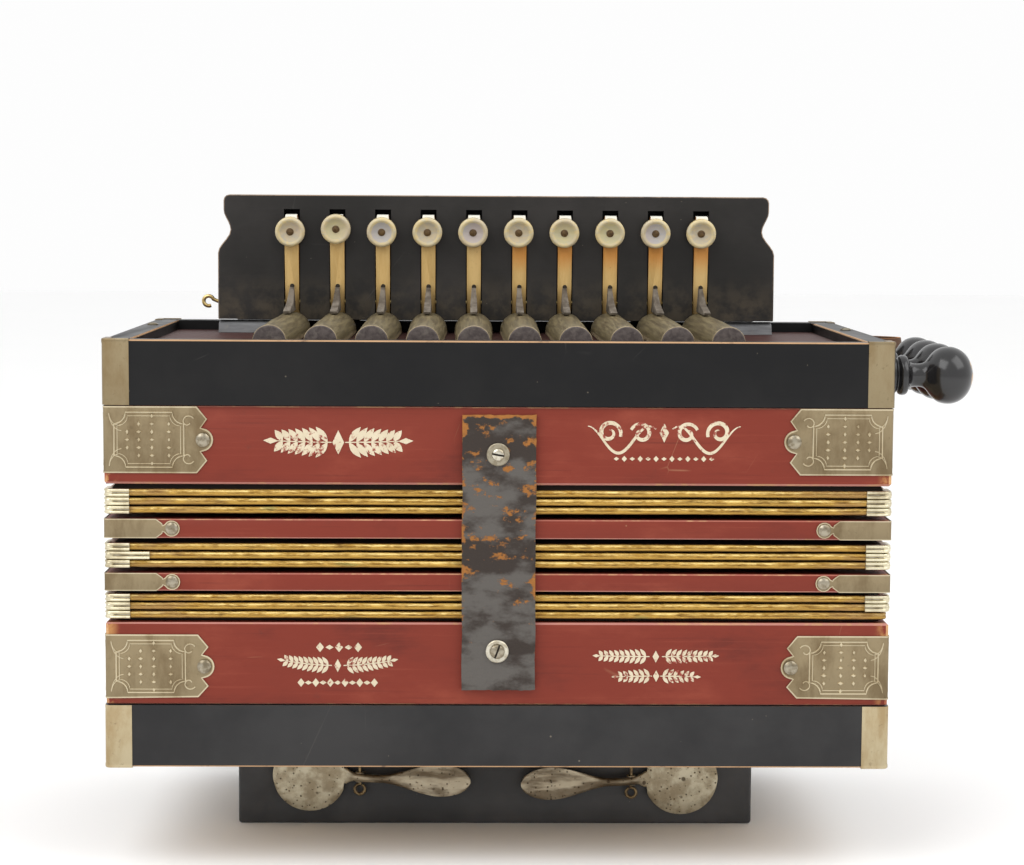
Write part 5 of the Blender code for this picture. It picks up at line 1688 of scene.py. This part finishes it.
def buildKeyAxle():
    low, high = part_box("key_axle")
    wire = 0.8 * mm
    y = (low.y + high.y) / 2
    eye = (high.z - low.z) / 2 - wire
    z = (low.z + high.z) / 2
    eyeX = low.x + wire + eye
    line = [(high.x, y, z), (0, y, z), (eyeX + eye + 1.5 * mm, y, z)]
    line += [(eyeX + eye * cos(radians(a)), y, z + eye * sin(radians(a))) for a in range(24, 310, 13)]
    bm = bmesh.new()
    addWire(bm, line, wire, 14)
    fit("key_axle_wire", bm, ["brass"], "treble_end", "brass_wire", "key_axle", sharpAngle=50)


buildKeyAxle()
print("key work made")


# ---- stops

stopLook = dict(rod=2.5 * mm, inner=98 * mm, slide=2.6 * mm, slideWidth=14 * mm)


def buildStop(index):
    name = f"stop_knob_{index}"
    low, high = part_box(name)
    y, z = (low.y + high.y) / 2, (low.z + high.z) / 2
    face = halfWidth + 0.3 * mm
    bm = bmesh.new()
    turned = [(0.0, 7.1), (0.25, 7.4), (2.2, 7.4), (2.6, 7.15), (3.2, 6.35), (3.7, 6.3), (4.3, 7.1),
              (5.2, 7.5), (6.4, 7.4), (7.2, 6.9), (8.0, 5.4), (9.2, 4.55), (11.0, 4.3), (13.0, 4.5),
              (14.4, 5.2), (15.6, 6.7), (17.0, 8.4), (18.8, 9.8), (20.8, 10.5), (22.8, 10.72),
              (24.8, 10.5), (26.8, 9.75), (28.6, 8.5), (30.0, 6.9), (30.9, 5.2), (31.5, 3.6),
              (31.95, 1.9), (32.15, 1.0)]
    line = smoothLine([(a, r, 0) for a, r in turned], 3)
    profile = [(stopLook["inner"], 0), (stopLook["inner"], stopLook["rod"]), (face, stopLook["rod"])]
    profile += [(face + p.x * mm, p.y * mm) for p in line]
    profile.append((face + 32.2 * mm, 0))
    addTurned(bm, profile, (0, y, z), (1, 0, 0), 56)
    fit(f"stop_{index}_knob", bm, ["knob"], f"stop_{index}", "black_wood", name)
    strip = bmesh.new()
    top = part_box("pallet_board")[0].z - 0.3 * mm
    start, end = low.x, 112 * mm
    edges = [start]
    for x in keyX:
        edges += [x - 4 * mm, x + 4 * mm]
    edges.append(end)
    for i in range(len(edges) - 1):
        if i % 2:
            for side in (-1, 1):
                inner, outer = sorted((side * 4.5 * mm, side * stopLook["slideWidth"] / 2))
                addBlock(strip, (edges[i], y + inner, top - stopLook["slide"]),
                         (edges[i + 1], y + outer, top))
        else:
            half = stopLook["slideWidth"] / 2
            addBlock(strip, (edges[i], y - half, top - stopLook["slide"]), (edges[i + 1], y + half, top))
    fit(f"stop_{index}_slide", strip, ["plainWood"], f"stop_{index}", "plain_wood")


for index in range(1, 5):
    buildStop(index)


# ---- bass box, spoons, air button

def buildBassBox():
    bm = copyOfNode("bass_box")
    low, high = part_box("bass_box")

    def lowCorner(edge):
        upright = abs(edge.verts[0].co.z - edge.verts[1].co.z) > 20 * mm
        foot = all(v.co.z < low.z + 0.01 * mm for v in edge.verts)
        return upright or foot

    softenEdges(bm, 1.3 * mm, 4, choose=lowCorner)
    softenEdges(bm, 0.3 * mm, 2, 1, angle=60)
    # the box takes the brightened lacquer, a painted light
    fit("bass_box_shell", bm, ["lacquerBoxPaintedLight", "lacquerEdge"], "bass_end", "black_lacquer", "bass_box")


spoonLook = dict(discX=74.0, tipX=10.0, disc=14.6, plate=1.6, neck=1.5, bowl=6.5, shoulder=28.0, widest=52.0,
                 droop=0.026, step=4.2, pivotX=54.0)


def spoonHalf(s):
    # half the spoon's width at s mm from the disc's centre
    look = spoonLook
    if s < look["disc"] - 1:
        return sqrt(max(look["disc"] ** 2 - s ** 2, 0.01))
    if s < look["shoulder"]:
        flare = max(1 - (s - look["disc"]) / 5, 0.0)
        return look["neck"] + 1.6 * min(flare, 1.0) ** 2
    if s < look["widest"]:
        t = (s - look["shoulder"]) / (look["widest"] - look["shoulder"])
        return look["neck"] + (look["bowl"] - look["neck"]) * (3 * t ** 2 - 2 * t ** 3)
    t = (s - look["widest"]) / (look["discX"] - look["tipX"] - look["widest"])
    return look["bowl"] * sqrt(max(1 - t ** 2, 0.012))


def buildSpoon(side, label):
    look = spoonLook
    low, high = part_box("bass_spoon_" + label)
    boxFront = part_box("bass_box")[0].y
    centreZ = high.z - look["disc"] * mm
    stations = [-look["disc"] * cos(pi / 2 * k / 12) for k in range(12)]
    stations += [look["disc"] * sin(pi / 2 * k / 10) * 0.93 for k in range(10)]
    stations += [13.7 + 0.9 * k for k in range(43)]
    end = look["discX"] - look["tipX"]
    stations += [look["widest"] + (end - look["widest"]) * sin(pi / 2 * k / 10) for k in range(11)]
    stations = sorted(set(round(s, 4) for s in stations))
    rings = []
    for s in stations:
        half = spoonHalf(s)
        rise = min(max((s - 12) / 12, 0.0), 1.0)
        front = boxFront - 3.0 * mm - look["step"] * mm * (3 * rise ** 2 - 2 * rise ** 3)
        bowl = min(max((s - 30) / 18, 0.0), 1.0)
        crown = (0.55 * min(max((s - 14) / 4, 0), 1) * (1 - bowl) - 0.9 * bowl * min((end - s) / 14, 1)) * mm
        x = side * (look["discX"] - s) * mm
        middle = centreZ - look["droop"] * max(s, 0.0) * mm
        ring = []
        for k in range(13):
            u = -1 + k / 6
            soften = 0.28 * mm if abs(u) == 1 else 0.0
            ring.append((x, front + soften - crown * (1 - u * u), middle + half * u * mm))
        for k in range(13):
            u = 1 - k / 6
            soften = -0.2 * mm if abs(u) == 1 else 0.0
            deep = front + look["plate"] * mm + soften - min(crown, 0.0) * (1 - u * u)
            ring.append((x, deep, middle + half * u * mm))
        rings.append(ring)
    bm = bmesh.new()
    joinRings(bm, rings)
    pivot = (side * look["pivotX"] * mm, boxFront - 3.6 * mm, centreZ - look["droop"] * 20 * mm)
    knuckle = [(-2 * mm, 0.95 * mm), (-2 * mm, 1.7 * mm), (-1.7 * mm, 1.9 * mm), (1.7 * mm, 1.9 * mm),
               (2 * mm, 1.7 * mm), (2 * mm, 0.95 * mm), (-2 * mm, 0.95 * mm)]
    addTurned(bm, knuckle, pivot, (0, 0, 1), 24)
    fit("bass_spoon_" + label + "_metal", bm, ["spoon"], "spoon_" + label, "nickel", "bass_spoon_" + label,
        sharpAngle=50)


def buildSpoonWire(side, label):
    node = "spoon_axle_" + label
    low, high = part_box(node)
    wire = 0.64 * mm
    x = side * spoonLook["pivotX"] * mm
    y = low.y + wire
    top = high.z - wire
    eye = 2.0 * mm
    eyeZ = low.z + wire + eye
    line = [(x, high.y, top), (x, y + 2.0 * mm, top), (x, y + 0.6 * mm, top - 0.15 * mm),
            (x, y, top - 0.9 * mm)]
    line += [(x, y, (top + eyeZ) / 2), (x, y, eyeZ + eye + 0.9 * mm)]
    for k in range(25):
        angle = radians(82 + 14.2 * k)
        line.append((x - side * eye * cos(angle), y, eyeZ + eye * sin(angle)))
    bm = bmesh.new()
    addWire(bm, line, wire, 12)
    fit(node + "_wire", bm, ["brassDark"], "bass_end", "brass_wire", node, sharpAngle=50)


def buildAirButton():
    low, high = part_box("air_button")
    y, z = (low.y + high.y) / 2, (low.z + high.z) / 2
    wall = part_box("bass_box")[1].x
    inner = wall - 6 * mm
    cap = 6.5 * mm
    profile = [(inner - 3 * mm, 0), (inner - 3 * mm, 10.7 * mm), (inner - 2.7 * mm, 11 * mm),
               (inner - 0.3 * mm, 11 * mm)]
    profile += [(inner - 0.3 * mm, 2.5 * mm), (wall + 1.0 * mm, 2.5 * mm), (wall + 1.0 * mm, cap - 0.3 * mm)]
    for k in range(9):
        angle = pi / 2 * k / 8
        profile.append((wall + 2.4 * mm + 2.0 * mm * sin(angle), (cap - 2.2 * mm) + 2.2 * mm * cos(angle)))
    profile.append((wall + 4.15 * mm, 0))
    bm = bmesh.new()
    addTurned(bm, profile, (0, y, z), (1, 0, 0), 40)
    fit("air_button_cap", bm, ["knob"], "air_valve", "black_wood", "air_button")


buildBassBox()
for side, label in ((-1, "left"), (1, "right")):
    buildSpoon(side, label)
    buildSpoonWire(side, label)
buildAirButton()
print("bass side made")


# ---- hand strap, thumb strap and their fittings

def bowLine(foot, half, height, steps, power=0.8):
    points = [(-half - foot, 0.0), (-half - foot * 0.5, 0.0), (-half, 0.0)]
    for k in range(1, steps):
        t = k / steps
        points.append((-half + 2 * half * t, height * sin(pi * t) ** power))
    return points + [(half, 0.0), (half + foot * 0.5, 0.0), (half + foot, 0.0)]


def bandOf(line, thickness, low, high, across, seed):
    # a strap whose side view is line; across turns (run, out, up) into a place
    bm = bmesh.new()
    rings = []
    count = len(line)
    levels = 8
    for i, point in enumerate(line):
        run = (Vector(line[min(i + 1, count - 1)]) - Vector(line[max(i - 1, 0)])).normalized()
        out = Vector((-run.y, run.x))
        ring = []
        for k in range(levels + 1):
            v = k / levels
            rim = 0.35 * mm if k in (0, levels) else 0.0
            wave = noise.noise(Vector((point[0] * 60, seed, 0))) * 0.3 * mm * abs(2 * v - 1)
            spot = Vector(point) + out * (thickness - rim)
            ring.append(across(spot.x, spot.y, low + (high - low) * v + wave * (1 - abs(2 * v - 1))))
        for k in range(levels, -1, -1):
            rim = 0.3 * mm if k in (0, levels) else 0.0
            spot = Vector(point) + out * rim
            ring.append(across(spot.x, spot.y, low + (high - low) * k / levels))
        rings.append(ring)
    joinRings(bm, rings)
    for face in bm.faces:
        if abs(face.normal.z) > 0.75 or face.calc_center_median().z > high - 0.05 * mm:
            face.material_index = 1
    return bm


def buildHandStrap():
    low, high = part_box("hand_strap")
    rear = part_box("bass_box")[1].y + 0.3 * mm
    line = bowLine(16 * mm, 70 * mm, high.y - rear - 3.1 * mm, 40)

    def across(run, out, up):
        return (run, rear + out, up)

    bm = bandOf(line, 2.6 * mm, low.z, high.z, across, 4.0)
    fit("hand_strap_band", bm, ["brown", "rawEdge"], "bass_end", "brown_leather", "hand_strap", sharpAngle=50)
    stitches = []
    fine = smoothLine([(x, y, 0) for x, y in line], 3)
    travelled, last = 0.0, fine[0]
    for i in range(1, len(fine) - 1):
        travelled += (fine[i] - last).length
        last = fine[i]
        if travelled < 3.4 * mm:
            continue
        travelled = 0.0
        run = (fine[i + 1] - fine[i - 1]).normalized()
        out = Vector((-run.y, run.x, 0))
        spot = fine[i] + out * 2.62 * mm
        for z in (low.z + 2.2 * mm, high.z - 2.2 * mm):
            stitches.append((across(spot.x, spot.y, z), tuple(out), tuple(run)))
    bm = bmesh.new()
    thread = [(-1.0, 0.30), (-0.6, 0.42), (0.6, 0.42), (1.0, 0.30)]
    addTurned(bm, [(-1.05, 0)] + thread + [(1.05, 0)], (0, 0, 0), (1, 0, 0), 8)
    model = modelObject("stitch_thread", bm)
    fitCopies("hand_strap_stitches", model, stitches, mm, 0.15, 9, "thread", "bass_end", "brown_leather")
    bpy.data.objects.remove(model)
    plates = bmesh.new()
    screws = []
    face = rear + 2.6 * mm
    for side in (-1, 1):
        x = side * 79 * mm
        addBlock(plates, (x - 6 * mm, face - 0.05 * mm, low.z + 1 * mm),
                 (x + 6 * mm, face + 0.8 * mm, high.z - 1 * mm))
        for z in (low.z + 6 * mm, high.z - 6 * mm):
            screws.append(((x, face + 0.8 * mm, z), (0, 1, 0), (cos(z * 900), 0, sin(z * 900))))
    softenEdges(plates, 0.35 * mm, 2)
    fit("hand_strap_plates", plates, ["nickel"], "bass_end", "nickel")
    fitCopies("hand_strap_screws", slottedHead, screws, 2.4 * mm, 0.02, 1, "screw", "bass_end", "nickel")


def buildThumbStrap():
    low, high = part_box("thumb_strap")
    centre = (low.y + high.y) / 2
    line = bowLine(6 * mm, 14 * mm, high.x - halfWidth - 0.3 * mm - 2.2 * mm, 20)

    def across(run, out, up):
        return (halfWidth + 0.3 * mm + out, centre - run, up)

    bm = bandOf(line, 2.2 * mm, low.z, high.z, across, 7.0)
    fit("thumb_strap_loop", bm, ["brown", "rawEdge"], "treble_end", "brown_leather", "thumb_strap",
        sharpAngle=50)
    screws = []
    for side in (-1, 1):
        spot = (halfWidth + 2.5 * mm, centre + side * 17 * mm, (low.z + high.z) / 2)
        screws.append((spot, (1, 0, 0), (0, 0.3, 1)))
    fitCopies("thumb_strap_screws", slottedHead, screws, 2.6 * mm, 0.02, 1, "screw", "treble_end", "nickel")


def buildRimScrews():
    screws = []
    for x, y in ((-140.2, 28), (140.2, 10.5), (-60, 75.5), (60, 75.5)):
        screws.append(((x * mm, y * mm, rimZ - 0.05 * mm), (0, 0, 1), (1, 0.4, 0)))
    fitCopies("treble_rim_screws", slottedHead, screws, 2.3 * mm, 0.04, 3, "screw", "treble_end", "nickel")


buildHandStrap()
buildThumbStrap()
buildRimScrews()

for spare in (plainHead, slottedHead, lozenge, bandOutline, clipOutline):
    bpy.data.objects.remove(spare)


# ---- inner wooden parts keep their shape and get a finish

for name in ("bass_board", "bass_reed_block", "treble_reed_block"):
    nodes[name].data.materials.clear()
    nodes[name].data.materials.append(finishes["plainWood"])
print("inner parts painted")


# ---- floor, light and camera

def buildFloor():
    bm = bmesh.new()
    addBlock(bm, (-6, -6, -0.02), (6, 6, 0.0))
    coat = Finish("studio_floor", 0.7)
    coat.set("Base Color", coat.mix(coat.cloud(0.4), (0.965, 0.965, 0.965), (0.985, 0.985, 0.98)))
    finishes["floor"] = coat.material
    makePiece("studio_floor", bm, ["floor"])


def softBox(name, place, aim, size, power, warmth=(1, 1, 1)):
    lamp = bpy.data.lights.new(name, "AREA")
    lamp.shape = "RECTANGLE"
    lamp.size, lamp.size_y = size
    lamp.energy = power
    lamp.color = warmth
    holder = bpy.data.objects.new(name, lamp)
    holder.location = place
    holder.rotation_euler = (Vector(aim) - Vector(place)).to_track_quat("-Z", "Y").to_euler()
    bpy.context.scene.collection.objects.link(holder)


def buildLight():
    world = bpy.data.worlds.new("studio")
    world.use_nodes = True
    background = world.node_tree.nodes["Background"].inputs
    background["Color"].default_value = (1.0, 1.0, 1.0, 1)
    background["Strength"].default_value = 0.985
    bpy.context.scene.world = world
    softBox("top_left_box", (-0.9, -0.9, 1.5), (0, 0, 0.12), (1.5, 1.2), 14)
    softBox("top_right_box", (1.0, -0.6, 1.3), (0, 0, 0.12), (1.1, 1.2), 8)
    bpy.context.scene.view_settings.view_transform = "Standard"


def buildCamera():
    look = dict(place=(-0.01034, -0.95567, 0.24565), yaw=0.0171, pitch=0.0932, roll=0.0056, lens=84.65)
    yaw, pitch, roll = look["yaw"], look["pitch"], look["roll"]
    forward = Vector((sin(yaw) * cos(pitch), cos(yaw) * cos(pitch), -sin(pitch)))
    right = Vector((cos(yaw), -sin(yaw), 0))
    up = right.cross(forward)
    tiltedRight = right * cos(roll) + up * sin(roll)
    tiltedUp = up * cos(roll) - right * sin(roll)
    camera = bpy.data.objects.new("camera", bpy.data.cameras.new("camera"))
    camera.data.lens = look["lens"]
    camera.data.sensor_width = 36
    rows = [(tiltedRight[i], tiltedUp[i], -forward[i]) for i in range(3)]
    camera.rotation_euler = Matrix(rows).to_euler()
    camera.location = look["place"]
    bpy.context.scene.collection.objects.link(camera)
    bpy.context.scene.camera = camera


buildFloor()
buildLight()
buildCamera()
print("floor, light and camera made")
